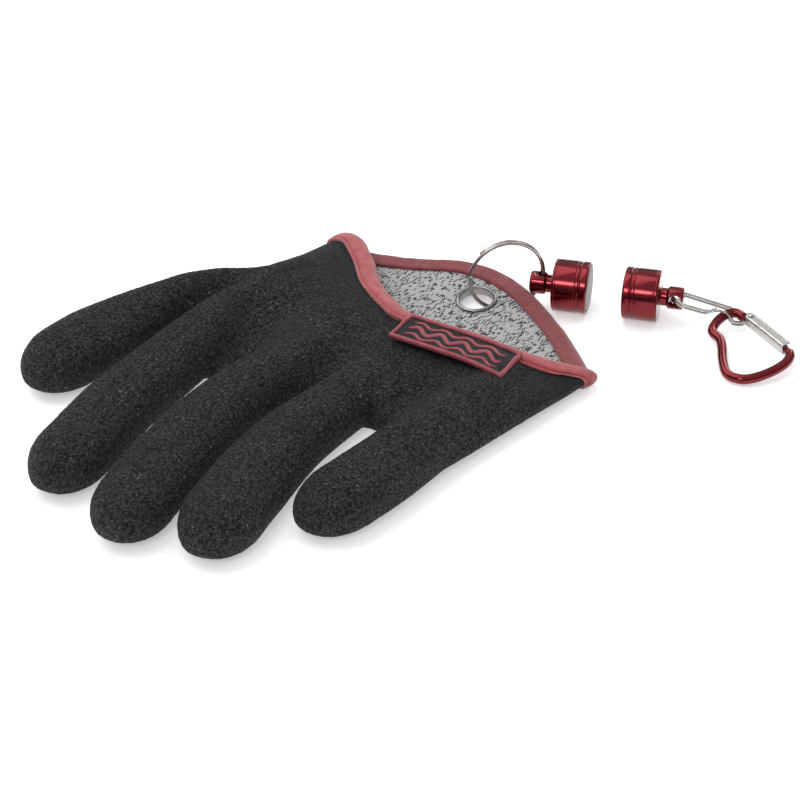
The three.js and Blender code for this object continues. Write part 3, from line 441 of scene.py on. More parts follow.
def knit_pocket():
    """The bare knit that shows inside the cuff, closed where it goes out of sight."""
    columns = Columns(150)
    start_x = np.full(columns.count, POCKET_START)
    inner_x, inner_across = columns.place(UNDER_TAPE)
    rings = []
    for t in np.linspace(0, 1, 70, endpoint=False):
        x = start_x + (inner_x - start_x) * t
        across = columns.across + (inner_across - columns.across) * t * t
        rings.append(layer_points(columns.upper, x, across, CLOTH_WALL))
    for distance in np.linspace(UNDER_TAPE, -1, 6):
        rings.append(columns.ring(distance, CLOTH_WALL))
    points = np.concatenate(rings)
    faces = list(grid_faces(len(rings), columns.count, close_columns=True)[:, ::-1])
    sides = columns.count
    for j in range(sides // 2):
        quad = list(dict.fromkeys([j, j + 1, sides - j - 1, (sides - j) % sides]))
        if len(quad) > 2:
            faces.append(quad)
    lower = np.tile(~columns.upper, len(rings))
    sunk = skin_sink(points[:, 0] / CUFF_REACH) * points[:, 2] / PALM_HEIGHT + valley_depth(points)
    points[:, 2] -= np.where(lower, 0, sunk)
    offset = points[:, :2] - np.array(EYELET_AT)
    reach = np.linalg.norm(offset, axis=1)
    turn = np.arctan2(offset[:, 1], offset[:, 0])
    pucker = 0.35 * np.cos(11 * turn) * np.exp(-(((reach - 9.5) / 2.2) ** 2))
    points[:, 2] += np.where(lower, pucker - 0.5 * np.exp(-((reach / 9) ** 4)), 0)
    points[:, 2] += np.where(lower, 0.35 * (soft_noise(points, 14, 21) - 0.6), 0)
    inside = lower & (reach < CLOTH_HOLE_RADIUS)
    stretch = CLOTH_HOLE_RADIUS / np.maximum(reach[inside], 0.1)
    for k in range(2):
        points[inside, k] = EYELET_AT[k] + offset[inside, k] * stretch
    faces = [face for face in faces if not all(inside[k] for k in face)]
    return mesh_object("knit_pocket", points, faces)


def cuff_tape():
    """The folded tape: puffy, with a sewn groove near its inner border, and small wrinkles."""
    columns = Columns(300)
    outer = -(TAPE_GAP + TAPE_WALL)
    under = CLOTH_WALL + TAPE_GAP + TAPE_WALL
    nose = CLOTH_WALL / 2 + TAPE_GAP + TAPE_WALL
    nose_at = TAPE_GAP + TAPE_WALL + GAP - nose
    border = [(0, -0.05 / outer), (-0.1, 0.55), (0.2, 0.95), (0.7, 1), (1.0, 0.6), (1.25, 0.1), (1.5, 0.6),
              (1.9, 1.1)]
    profile = [(-TAPE_WIDTH + into, share * outer) for into, share in border]
    profile += [(-3, outer * 1.2), (-2, outer * 1.2), (-1.2, outer * 1.1)]
    steps = 8
    for i in range(steps + 1):
        turn = math.pi * i / steps
        profile.append((nose_at + nose * math.sin(turn), CLOTH_WALL / 2 - nose * 1.02 * math.cos(turn)))
    profile += [(-2.6, under), (-TAPE_WIDTH + 1.7, under * 0.98), (-TAPE_WIDTH + 0.4, under),
                (-TAPE_WIDTH, under - 0.5), (-TAPE_WIDTH + 0.1, CLOTH_WALL + 0.05)]
    rings = np.array([columns.ring(distance, depth) for distance, depth in profile])
    flat = rings.reshape(-1, 3)
    lift = 0.16 * soft_noise(flat, 3.2, 31) + 0.22 * soft_noise(flat, 9, 32)
    flat[:, 2] = np.maximum(flat[:, 2] + lift, 0.05)
    flat[:, 1] += 0.18 * soft_noise(flat, 6, 33)
    piece = mesh_object("bias_tape", flat, grid_faces(len(profile), columns.count, True, True)[:, ::-1])
    return piece, np.tile(columns.upper, len(profile))


# Label: a soft patch with a raised rim, over the tape and the coating
LABEL_LENGTH = 44.5
LABEL_WIDTH = 17
LABEL_CORNER = (0.274 * CUFF_REACH, -0.025 * HAND_SPAN)
LABEL_ANGLE = math.radians(-76.7)
RIM_WIDTH = 1.4
LABEL_BASE = 0.95
RIM_HEIGHT = 1.75
RIM_CORNER = 0.6


def label_place(along, into, height):
    """Points of the label: millimetres along and into it, and height over what it lies on."""
    direction = np.array([math.cos(LABEL_ANGLE), math.sin(LABEL_ANGLE)])
    inward = np.array([direction[1], -direction[0]])
    at = np.array(LABEL_CORNER) + np.outer(along, direction) + np.outer(into, inward)
    x, y = at.T
    across = (y - near_edge(x)) / (far_edge(x) - near_edge(x))
    seat = layer_points(np.ones(len(x), bool), x, across, 0)[:, 2]
    over_tape = TAPE_GAP + TAPE_WALL + GAP
    share = smoothstep(into / LABEL_WIDTH, 0.3, 0.75)
    return np.column_stack([x, y, seat + over_tape + (GAP - over_tape) * share + height])


def rounded_border(length, width, corner, steps=8):
    """A rectangle with round corners, as millimetres along and into the label."""
    centres = [(length - corner, corner), (length - corner, width - corner), (corner, width - corner),
               (corner, corner)]
    points = []
    for k, (a, b) in enumerate(centres):
        for i in range(steps + 1):
            turn = math.pi / 2 * (k - 1 + i / steps)
            points.append((a + corner * math.cos(turn), b + corner * math.sin(turn)))
    dense = []
    for (a, b), (c, d) in zip(points, points[1:] + points[:1]):
        count = max(1, int(math.hypot(c - a, d - b) / 1.2))
        dense += [(a + (c - a) * i / count, b + (d - b) * i / count) for i in range(count)]
    return np.array(dense)


def label_rim():
    profile = [(0, 0), (-0.02, RIM_HEIGHT * 0.7), (0.3, RIM_HEIGHT), (0.8, RIM_HEIGHT * 1.05),
               (1.15, RIM_HEIGHT), (RIM_WIDTH, RIM_HEIGHT * 0.7), (RIM_WIDTH, 0)]
    outside = rounded_border(LABEL_LENGTH, LABEL_WIDTH, RIM_CORNER)
    centre = np.array([LABEL_LENGTH, LABEL_WIDTH]) / 2
    rings = []
    for inset, height in profile:
        shrink = (centre - inset) / centre
        border = centre + (outside - centre) * shrink
        rings.append(label_place(border[:, 0], border[:, 1], height))
    points = np.concatenate(rings)
    return mesh_object("label_rim", points, grid_faces(len(rings), len(outside), True, True))


def label_sheet():
    rows, sides = 26, 60
    into = np.linspace(RIM_WIDTH * 0.6, LABEL_WIDTH - RIM_WIDTH * 0.6, rows)
    along = np.linspace(RIM_WIDTH * 0.6, LABEL_LENGTH - RIM_WIDTH * 0.6, sides)
    grid_into, grid_along = np.meshgrid(into, along, indexing="ij")
    top = label_place(grid_along.ravel(), grid_into.ravel(), LABEL_BASE)
    low = label_place(grid_along.ravel(), grid_into.ravel(), 0.05)
    faces = list(grid_faces(rows, sides)) + list(grid_faces(rows, sides, base=rows * sides)[:, ::-1])
    return mesh_object("label_sheet", np.concatenate([top, low]), faces)


def ribbon(line, width, height, top):
    """A raised rounded line on the label along points in its plane, thinner at both ends."""
    line, _ = centripetal_line(line, 120)
    forward = directions(line)
    side = np.stack([-forward[:, 1], forward[:, 0]], 1)
    t = np.linspace(0, 1, len(line))
    half = width / 2 * np.clip(np.sqrt(np.minimum(t, 1 - t) * 14), 0.25, 1)
    section = [(-1, 0), (-0.85, 0.6), (-0.45, 0.95), (0.45, 0.95), (0.85, 0.6), (1, 0)]
    rings = []
    for a, h in section:
        at = line + (a * half)[:, None] * side
        rings.append(label_place(at[:, 0], at[:, 1], top + h * height))
    return np.concatenate(rings), list(grid_faces(len(section), len(line)))


def label_waves():
    """A plain ornament of water: three running waves."""
    points, faces = [], []
    base = 0
    lines = []
    for into, swing, width in ((4.8, 1.1, 1.3), (8.5, 1.5, 1.7), (12.3, 1.1, 1.3)):
        along = np.linspace(4, LABEL_LENGTH - 4, 33)
        lines.append((np.column_stack([along, into + swing * np.sin(2 * np.pi * along / 9.1)]), width))
    for line, width in lines:
        piece, piece_faces = ribbon(line, width, 0.5, LABEL_BASE - 0.08)
        faces += [[k + base for k in face] for face in piece_faces]
        points.append(piece)
        base += len(piece)
    return mesh_object("label_waves", np.concatenate(points), faces)


def turned_piece(name, profile, matrix, sides=96, closed=True):
    """A body turned about +Z from (radius, height) rows in millimetres, put in place by a matrix."""
    rows = []
    turn = full_turn(sides)
    for radius, height in profile:
        rows.append(np.column_stack([radius * np.cos(turn), radius * np.sin(turn), np.full(sides, height)]))
    points = np.concatenate(rows)
    linear = np.array(matrix.to_3x3())
    points = points @ linear.T + np.array(matrix.translation)
    piece = mesh_object(name, points, grid_faces(len(profile), sides, close_columns=True))
    if closed:
        close_ends(piece)
    return piece


def rounded_profile(rows, radius=0.25, steps=4):
    """The rows with their inner corners rounded."""
    rows = [np.array(row, float) for row in rows]
    made = [rows[0]]
    for before, here, after in zip(rows, rows[1:], rows[2:]):
        a, b = before - here, after - here
        reach = min(radius, np.linalg.norm(a) / 2.2, np.linalg.norm(b) / 2.2)
        first = here + a / max(np.linalg.norm(a), 1e-6) * reach
        last = here + b / max(np.linalg.norm(b), 1e-6) * reach
        for i in range(steps + 1):
            t = i / steps
            made.append((1 - t) ** 2 * first + 2 * t * (1 - t) * here + t * t * last)
    made.append(rows[-1])
    return made


def eyelet_piece():
    slope = math.atan(CUFF_LIFT_SLOPE)
    height = float(underside(EYELET_AT[0])) + CLOTH_WALL / 2
    matrix = Matrix.Translation((EYELET_AT[0], EYELET_AT[1], height)) @ Matrix.Rotation(-slope, 4, "Y")
    seat = CLOTH_WALL / 2 + 0.1
    half = [(EYELET_HOLE_RADIUS + 0.35, seat - 0.6), (EYELET_FLANGE_RADIUS, seat - 0.1),
            (EYELET_FLANGE_RADIUS - 0.05, seat + 0.25), (EYELET_FLANGE_RADIUS - 0.55, seat + 0.55),
            (EYELET_HOLE_RADIUS + 0.6, seat + 0.6), (EYELET_HOLE_RADIUS + 0.08, seat + 0.25)]
    lower = [(radius, -height) for radius, height in half[::-1]]
    return turned_piece("eyelet_ring", rounded_profile(half + lower + half[:1], 0.3), matrix, closed=False)


def wire(name, path, out, up, width, height, sides=14):
    """A wire of a round section along a path, with its own out and up directions."""
    turn = full_turn(sides)
    rings = []
    for c, s in zip(np.cos(turn), np.sin(turn)):
        rings.append(path + width / 2 * c * out + height / 2 * s * up)
    return mesh_object(name, *closed_tube(np.array(rings).transpose(1, 0, 2)))


# The loose pieces, as they lie in front of the cuff
MAGNET_RADIUS = 9.7
MAGNET_BODY = 13
MAGNET_NECK = 3.4
MAGNET_KNOB = 5.4
MAGNET_LENGTH = MAGNET_BODY + MAGNET_NECK + MAGNET_KNOB
HOLE_AT = MAGNET_LENGTH - 3.6
HOLE_RADIUS = 2.35
NECK_RADIUS = 3.3
KNOB_RADIUS = 4.15
MAGNETS_APART = 13
RING_RADIUS = 14.5
RING_WIRE_WIDTH = 1.3
RING_PITCH = 1.3
RING_TURNS = 1.9
RING_ANGLE = math.radians(-33.5)
MAGNET_ANGLE = math.radians(-60)
LINK_LENGTH = 28.5
LINK_WIDTH = 11.5
LINK_WIRE = 0.95
LINK_PITCH = 1.1
LINK_TURNS = 1.92
LINK_BACK = 0.8
LINK_BUMP = 2.7
LINK_BUMP_AT = 18
LINK_BUMP_REACH = 6.5
LINK_ANGLE = math.radians(-52.5)
LINK_END_HEIGHT = 1.3
LINK_ROLL = math.radians(8)

knob_hole_a = np.array([EYELET_AT[0] + 19.1, EYELET_AT[1] - 14.4, MAGNET_RADIUS])
magnet_line = np.array([math.cos(MAGNET_ANGLE), math.sin(MAGNET_ANGLE), 0])
face_a = knob_hole_a + magnet_line * HOLE_AT
face_b = face_a + magnet_line * MAGNETS_APART
knob_hole_b = face_b + magnet_line * HOLE_AT
ring_line = np.array([math.cos(RING_ANGLE), math.sin(RING_ANGLE), 0])
UP = np.array([0, 0, 1.0])


def split_ring_piece():
    radius = RING_RADIUS - RING_WIRE_WIDTH / 2
    reach = math.sqrt(radius**2 - (RING_RADIUS - MAGNET_RADIUS) ** 2)
    centre = np.array([knob_hole_a[0], knob_hole_a[1], RING_RADIUS]) - ring_line * reach
    axis = np.array([-ring_line[1], ring_line[0], 0])
    turn = np.linspace(0, RING_TURNS, 260)
    angle = math.radians(170) + 2 * np.pi * turn
    out = np.outer(np.cos(angle), ring_line) + np.outer(np.sin(angle), UP)
    offset = RING_PITCH * (turn - RING_TURNS / 2)
    path = centre + radius * out + np.outer(offset, axis)
    up = np.tile(axis, (len(turn), 1))
    return wire("ring_wire", path, out, up, RING_WIRE_WIDTH * 1.05, 1.1, sides=18)


def magnet_matrix(face, away):
    axis = Vector(magnet_line * away)
    up = Vector((0, 0, 1))
    side = axis.cross(up)
    columns = Matrix((up, side, axis)).transposed().to_4x4()
    columns.translation = Vector((face[0], face[1], MAGNET_RADIUS))
    return columns


def housing_piece(name, face, away, hole_direction):
    """A turned housing with its grooves, neck and knob, and the hole across the knob."""
    matrix = magnet_matrix(face, away)
    recess = 1.95
    wide, neck, knob, end = MAGNET_RADIUS, NECK_RADIUS, KNOB_RADIUS, MAGNET_LENGTH
    rows = [(0, recess), (8.72, recess), (8.72, 0.15), (9.25, 0), (wide, 0.45), (wide, 2.6), (9.35, 2.75),
            (9.35, 3.2), (wide, 3.35), (wide, 4.1), (9.55, 4.2), (9.55, 4.45), (wide, 4.55), (wide, 11.6),
            (9.62, 11.7), (9.62, 11.9), (wide, 12), (wide, 12.5), (9.2, MAGNET_BODY), (4.1, MAGNET_BODY),
            (neck, 13.25), (neck, 15.8), (knob, 16.3), (knob, end - 0.5), (3.7, end), (0, end)]
    piece = turned_piece(name, rounded_profile(rows, 0.3), matrix, 128)
    direction = Vector(hole_direction).normalized()
    centre = Vector(face) + Vector(magnet_line * away) * HOLE_AT
    across = direction.to_track_quat("Z", "Y").to_matrix().to_4x4()
    across.translation = centre
    flare = HOLE_RADIUS + 0.35
    half = [(HOLE_RADIUS, 3.7), (flare, 4.3), (flare + 1.5, 7), (0.01, 7)]
    drill_rows = [(radius, -height) for radius, height in half[::-1]] + half
    drill = turned_piece("drill", drill_rows, across, 48)
    cut = piece.modifiers.new("hole", "BOOLEAN")
    cut.object = drill
    cut.operation = "DIFFERENCE"
    cut.solver = "EXACT"
    apply_modifiers(piece)
    bpy.data.objects.remove(drill)
    return piece


def close_ends(piece):
    """Welds the points at the ends of a turned piece's axis and closes what is left open."""
    work = bmesh.new()
    work.from_mesh(piece.data)
    bmesh.ops.remove_doubles(work, verts=work.verts, dist=2e-6)
    bmesh.ops.holes_fill(work, edges=work.edges)
    bmesh.ops.recalc_face_normals(work, faces=work.faces)
    work.to_mesh(piece.data)
    work.free()


def apply_modifiers(piece):
    graph = bpy.context.evaluated_depsgraph_get()
    made = bpy.data.meshes.new_from_object(piece.evaluated_get(graph))
    piece.modifiers.clear()
    piece.data = made


def disc_piece(name, face, away):
    rows = [(0, -0.2), (7.6, -0.2), (8.1, -0.2), (8.35, 0.05), (8.4, 0.4), (8.4, 1.7), (0, 1.7)]
    return turned_piece(name, rounded_profile(rows, 0.15), magnet_matrix(face, away))


link_slope = (LINK_END_HEIGHT - MAGNET_RADIUS) / LINK_LENGTH
link_along = np.array([math.cos(LINK_ANGLE), math.sin(LINK_ANGLE), link_slope])
link_along /= np.linalg.norm(link_along)
link_level = np.array([-link_along[1], link_along[0], 0])
link_level /= np.linalg.norm(link_level)
link_across = link_level * math.cos(LINK_ROLL) - np.cross(link_along, link_level) * math.sin(LINK_ROLL)
link_up = np.cross(link_along, link_across)


def link_piece():
    radius = LINK_WIDTH / 2
    straight = LINK_LENGTH - LINK_WIDTH
    bend = math.pi * radius
    whole = 2 * (straight + bend)
    begin = (LINK_BUMP_AT - radius + LINK_BUMP_REACH / 2) / whole
    path, outs = [], []
    for turn in np.linspace(0, LINK_TURNS, 300):
        way = ((turn + begin) % 1) * whole
        back = way >= whole / 2
        if back:
            way -= whole / 2
        angle = max(0, way - straight) / radius - math.pi / 2
        a = radius + min(way, straight) + radius * math.cos(angle)
        c = radius * math.sin(angle)
        out = link_along * math.cos(angle) + link_across * math.sin(angle)
        bump = 0
        if back:
            a, c, out = 2 * radius + straight - a, -c, -out
        elif way < straight:
            t = min(max((1 - abs(a - LINK_BUMP_AT) / LINK_BUMP_REACH) / 0.9, 0), 1)
            bump = LINK_BUMP * t * t * (3 - 2 * t)
        rise_here = bump + LINK_PITCH * (turn - LINK_TURNS / 2)
        path.append(knob_hole_b + link_along * (a - LINK_BACK) + link_across * c + link_up * rise_here)
        outs.append(out)
    up = np.tile(link_up, (len(path), 1))
    return wire("link_wire", np.array(path), np.array(outs), up, LINK_WIRE, LINK_WIRE, sides=14)


CARABINER_LENGTH = 39
CARABINER_WIDTH = 27
BAR = 3.6
BAR_LINE = [(0.1, 0.36), (0.06, 0.43), (-0.02, 0.472), (-0.13, 0.445), (-0.233, 0.377), (-0.333, 0.262),
            (-0.352, 0.17), (-0.267, 0.092), (-0.252, -0.05), (-0.267, -0.23), (-0.244, -0.426),
            (-0.13, -0.503), (0.02, -0.525), (0.278, -0.459), (0.53, -0.331), (0.633, -0.203), (0.6, -0.13)]
HINGE_AT = (0.181 * CARABINER_WIDTH, 0.341 * CARABINER_LENGTH)
NOSE_AT = (0.57 * CARABINER_WIDTH, -0.082 * CARABINER_LENGTH)
CARABINER_TILT = math.radians(5.4)
CARABINER_LEAN = math.radians(3)
CARABINER_ANGLE = math.radians(-47.6)


def carabiner_matrix():
    turn = (Matrix.Rotation(CARABINER_ANGLE, 4, "Z") @ Matrix.Rotation(CARABINER_TILT, 4, "X")
            @ Matrix.Rotation(-CARABINER_LEAN, 4, "Y"))
    places = [Vector((a * CARABINER_WIDTH, b * CARABINER_LENGTH, 0)) for a, b in BAR_LINE]
    height = GAP + BAR / 2 - min((turn @ place).z for place in places)
    on_bar = turn @ Vector((0.078 * CARABINER_WIDTH, 0.397 * CARABINER_LENGTH, 0))
    flat = np.array([link_along[0], link_along[1], 0])
    flat /= np.linalg.norm(flat)
    hook = knob_hole_b + flat * (0.904 * LINK_LENGTH - LINK_BACK) - link_level * 0.396 * LINK_WIDTH
    turn.translation = Vector((hook[0] - on_bar.x, hook[1] - on_bar.y, height))
    return turn


def placed(points, matrix):
    linear = np.array(matrix.to_3x3())
    return np.asarray(points) @ linear.T + np.array(matrix.translation)


def carabiner_piece(matrix):
    line, _ = centripetal_line([(a * CARABINER_WIDTH, b * CARABINER_LENGTH, 0) for a, b in BAR_LINE], 220)
    for _ in range(30):
        line[1:-1] += 0.25 * (line[:-2] + line[2:] - 2 * line[1:-1])
    forward = directions(line)
    out = np.stack([forward[:, 1], -forward[:, 0], np.zeros(len(line))], 1)
    t = np.linspace(0, 1, len(line))
    taper = np.clip(np.sqrt(np.minimum(t, 1 - t) * 60), 0.55, 1)[:, None]
    turn = full_turn(28)
    half = BAR / 2 * taper
    rings = np.array([line + half * (c * out + s * UP) for c, s in zip(np.cos(turn), np.sin(turn))])
    points, faces = closed_tube(rings.transpose(1, 0, 2))
    base = len(points)
    parts = [points]
    ends = (((0.06 * CARABINER_WIDTH, 0.43 * CARABINER_LENGTH), HINGE_AT, 2.6),
            ((0.633 * CARABINER_WIDTH, -0.203 * CARABINER_LENGTH), NOSE_AT, 1.8))
    for start, end, wide in ends:
        tongue, tongue_faces = tongue_points(np.array(start), np.array(end), wide)
        faces += [tuple(k + base for k in face) for face in tongue_faces]
        parts.append(tongue)
        base += len(tongue)
    return mesh_object("carabiner_bar", placed(np.concatenate(parts), matrix), faces)


def tongue_points(start, end, wide, wall=1.9):
    """A flat tongue with round sides and a round end."""
    toward = end - start
    length = np.linalg.norm(toward)
    toward = toward / length
    side = np.array([-toward[1], toward[0]])
    half = wide / 2
    border = [(0, -half), (length, -half)]
    border += [(length + half * math.cos(a), half * math.sin(a)) for a in np.linspace(-1.4, 1.4, 12)]
    border += [(length, half), (0, half)]
    border = np.array(border)
    centre = border.mean(0)
    rings = []
    for shrink, z in ((0.9, -0.5), (1, -0.38), (1, 0.38), (0.9, 0.5)):
        at = centre + (border - centre) * shrink
        xy = start + np.outer(at[:, 0], toward) + np.outer(at[:, 1], side)
        rings.append(np.column_stack([xy, np.full(len(xy), z * wall)]))
    return closed_tube(np.array(rings))


GATE_WIDTH = 3.4
GATE_HEIGHT = 3.8
GATE_SHEET = 0.45


def gate_piece(matrix):
    """The gate: a bent sheet, round over its inner side, open towards the outside."""
    hinge, nose = np.array(HINGE_AT), np.array(NOSE_AT)
    toward = nose - hinge
    length = np.linalg.norm(toward) + 1
    toward = toward / np.linalg.norm(toward)
    side = np.array([-toward[1], toward[0]])
    half_w, half_h = GATE_WIDTH / 2, GATE_HEIGHT / 2
    upper = [(half_w, half_h), (0.2, half_h), (-half_w * 0.75, half_h * 0.94), (-half_w * 0.97, half_h * 0.6)]
    lower = [(a, -b) for a, b in upper[::-1]]
    section, _ = centripetal_line(upper + [(-half_w, 0)] + lower, 40)
    count = 60
    rings = []
    for i in range(count):
        along = -half_w + (length + half_w) * i / (count - 1)
        reach = section.copy()
        near = np.clip((along + half_w) / half_w, 0, 1)
        cheek = half_w * math.sqrt(max(0.0, 1 - (1 - near) ** 2))
        reach[:, 0] = np.clip(reach[:, 0], -max(cheek, 0.1), max(cheek, 0.1))
        if along < half_w * 1.2:
            web = reach[:, 0] < half_w * 0.2
            reach[web, 1] = np.sign(reach[web, 1] + 1e-6) * np.maximum(np.abs(reach[web, 1]), half_h * 0.62)
        xy = hinge + toward * along + np.outer(reach[:, 0], side)
        rings.append(np.column_stack([xy, reach[:, 1]]))
    points = placed(np.concatenate(rings), matrix)
    piece = mesh_object("gate_sheet", points, grid_faces(count, len(section)))
    wall = piece.modifiers.new("wall", "SOLIDIFY")
    wall.thickness = GATE_SHEET * MM
    wall.offset = 0
    apply_modifiers(piece)
    return piece


def rivet_piece(matrix):
    at = matrix @ Matrix.Translation((HINGE_AT[0], HINGE_AT[1], 0))
    half = [(0.7, 2.15), (1.28, 2.2), (1.0, 2.5), (0.5, 2.72), (0, 2.75)]
    rows = [(radius, -height) for radius, height in half[::-1]]
    return turned_piece("rivet_pin", rows + half, at, 40)


class Shader:
    """A node material with short ways to add nodes."""

    def __init__(self, name, roughness=0.5, metallic=0.0):
        self.material = bpy.data.materials.new(name)
        self.material.use_nodes = True
        self.tree = self.material.node_tree
        self.surface = self.tree.nodes["Principled BSDF"]
        self.surface.inputs["Metallic"].default_value = metallic
        self.surface.inputs["Roughness"].default_value = roughness
        self.place = self.add("ShaderNodeTexCoord").outputs["Object"]

    def add(self, kind, **inputs):
        node = self.tree.nodes.new(kind)
        for name, value in inputs.items():
            self.put(node.inputs[name.replace("_", " ")], value)
        return node

    def put(self, socket, value):
        if isinstance(value, bpy.types.NodeSocket):
            self.tree.links.new(value, socket)
        else:
            socket.default_value = value

    def noise(self, scale, detail=3.0, roughness=0.55, vector=None):
        node = self.add("ShaderNodeTexNoise", Scale=scale, Detail=detail, Roughness=roughness)
        self.put(node.inputs["Vector"], vector or self.place)
        return node.outputs["Fac"]

    def cells(self, scale, feature="F1", vector=None):
        node = self.add("ShaderNodeTexVoronoi", Scale=scale)
        node.feature = feature
        self.put(node.inputs["Vector"], vector or self.place)
        return node

    def math(self, operation, a, b=0.0):
        node = self.tree.nodes.new("ShaderNodeMath")
        node.operation = operation
        self.put(node.inputs[0], a)
        self.put(node.inputs[1], b)
        return node.outputs[0]

    def plus(self, a, b):
        return self.math("ADD", a, b)

    def minus(self, a, b):
        return self.math("SUBTRACT", a, b)

    def times(self, a, b):
        return self.math("MULTIPLY", a, b)

    def ramp(self, value, low, high, start=0.0, end=1.0):
        node = self.add("ShaderNodeMapRange", Value=value, From_Min=low, From_Max=high)
        self.put(node.inputs["To Min"], start)
        self.put(node.inputs["To Max"], end)
        node.interpolation_type = "SMOOTHSTEP"
        return node.outputs["Result"]

    def mix(self, share, first, second):
        node = self.tree.nodes.new("ShaderNodeMix")
        node.data_type = "RGBA"
        for socket, value in ((node.inputs[0], share), (node.inputs[6], first), (node.inputs[7], second)):
            self.put(socket, value)
        return node.outputs[2]

    def blend(self, value, low, high, first, second):
        """From the first colour to the second as the value goes from low to high."""
        return self.mix(self.ramp(value, low, high), first, second)

    def axis(self, vector=None):
        node = self.add("ShaderNodeSeparateXYZ")
        self.put(node.inputs[0], vector or self.place)
        return node.outputs

    def mapped(self, scale, turn=(0, 0, 0)):
        return self.add("ShaderNodeMapping", Vector=self.place, Rotation=turn, Scale=scale).outputs[0]

    def warped(self, reach, scale):
        """The place, bent to and fro by noise."""
        noise = self.add("ShaderNodeTexNoise", Scale=scale, Detail=1.0)
        self.put(noise.inputs["Vector"], self.place)
        centred = self.vector("SUBTRACT", noise.outputs["Color"], (0.5, 0.5, 0.5))
        return self.vector("ADD", self.place, self.vector("MULTIPLY", centred, (reach, reach, reach)))

    def vector(self, operation, a, b, result="Vector"):
        node = self.tree.nodes.new("ShaderNodeVectorMath")
        node.operation = operation
        self.put(node.inputs[0], a)
        self.put(node.inputs[1], b)
        return node.outputs[result]

    def bump(self, height, distance, strength=1.0):
        node = self.add("ShaderNodeBump", Height=height, Distance=distance, Strength=strength)
        if self.surface.inputs["Normal"].is_linked:
            self.put(node.inputs["Normal"], self.surface.inputs["Normal"].links[0].from_socket)
        self.put(self.surface.inputs["Normal"], node.outputs[0])

    def set(self, **inputs):
        """Sets or links inputs of the surface."""
        for name, value in inputs.items():
            self.put(self.surface.inputs[name.replace("_", " ")], value)


def grey(value):
    return (value, value, value, 1)


def coating_material():
    """Crinkled latex: wrinkles of about a millimetre, a finer texture, pale specks, smoother at the cuff, and
    painted shade darkening the crevices of the crinkle.
    """
    shader = Shader("crinkled_latex", 0.62)
    x = shader.axis()[0]
    smooth_cuff = shader.ramp(x, -0.005, 0.035)
    bent = shader.warped(0.0006, 700)
    wrinkle = shader.noise(980, 2.0, 0.55, bent)
    folded = shader.math("ABSOLUTE", shader.minus(wrinkle, 0.5))
    crinkle = shader.minus(1.0, shader.times(folded, 7.0))
    pebble = shader.cells(900, "F1", bent).outputs["Distance"]
    fine = shader.noise(2300, 2.0, 0.7)
    height = shader.plus(shader.times(crinkle, 0.45), shader.times(pebble, -0.9))
    height = shader.plus(height, shader.times(fine, 0.5))
    weight = shader.minus(1.0, shader.times(smooth_cuff, 0.7))
    shader.bump(shader.times(height, weight), 0.0011)
    broad = shader.noise(60, 3.0, 0.6)
    low = shader.blend(broad, 0.35, 0.65, (0.004, 0.0039, 0.0039, 1), (0.008, 0.0078, 0.0077, 1))
    high = shader.blend(fine, 0.3, 0.7, (0.022, 0.0215, 0.0212, 1), (0.085, 0.083, 0.081, 1))
    # Painted shade: the colour runs from the dark tones in the crevices of the crinkle up to the lighter
    # tones on its ridges.
    grain_and_crevice_shade = shader.blend(height, -0.35, 0.45, low, high)
    speck = shader.ramp(shader.noise(1000, 1.0, 0.5), 0.64, 0.72)
    patches = shader.ramp(shader.noise(90, 2.0, 0.5), 0.4, 0.65, 0.25, 1.0)
    speck = shader.times(shader.times(speck, patches),
                        shader.minus(1.0, smooth_cuff))
    marked = shader.mix(speck, grain_and_crevice_shade, (0.2, 0.195, 0.19, 1))
    cuff = shader.blend(fine, 0.3, 0.7, (0.0065, 0.0075, 0.0095, 1), (0.0165, 0.018, 0.0215, 1))
    shader.set(Base_Color=shader.mix(shader.times(smooth_cuff, 0.85), marked, cuff))
    shader.set(Roughness=shader.ramp(height, -0.3, 0.5, 0.85, 0.58), Specular_IOR_Level=0.3)
    return shader.material


def knit_material():
    """Plain knit: columns of small slanted loops, light grey with dark strands here and there, and painted
    shade in the gaps between the loops.
    """
    shader = Shader("speckled_knit", 0.9)
    wide, tall = 0.0011, 0.0012
    vector = shader.mapped(scale=(1 / tall, 1 / wide, 1), turn=(0, 0, math.radians(8)))
    v, u, _ = shader.axis(vector)
    column = shader.minus(shader.math("FRACT", u), 0.5)
    leg = shader.math("ABSOLUTE", column)
    slanted = shader.plus(v, shader.times(leg, 1.1))
    strand = shader.math("ABSOLUTE", shader.minus(shader.math("FRACT", slanted), 0.5))
    across = shader.math("ABSOLUTE", shader.minus(leg, 0.25))
    body = shader.minus(1.0, shader.times(strand, 1.7))
    body = shader.times(body, shader.minus(1.0, shader.times(across, 3.2)))
    side = shader.math("FLOOR", shader.times(u, 2.0))
    cell = shader.add("ShaderNodeCombineXYZ", X=side, Y=shader.math("FLOOR", slanted))
    pick = shader.add("ShaderNodeTexWhiteNoise", Vector=cell.outputs[0]).outputs["Value"]
    dark = shader.ramp(shader.plus(pick, shader.times(shader.noise(260), 0.5)), 0.94, 0.99)
    fibre = shader.noise(3200, 2.0, 0.7)
    light = shader.blend(fibre, 0.3, 0.7, grey(0.66), grey(0.86))
    yarn = shader.mix(dark, light, grey(0.03))
    # Painted shade: the gaps between the loops are filled with near black.
    shader.set(Base_Color=shader.blend(body, 0.02, 0.32, grey(0.08), yarn))
    shader.bump(shader.plus(body, shader.times(fibre, 0.2)), 0.0005)
    shader.set(Sheen_Weight=0.3)
    return shader.material


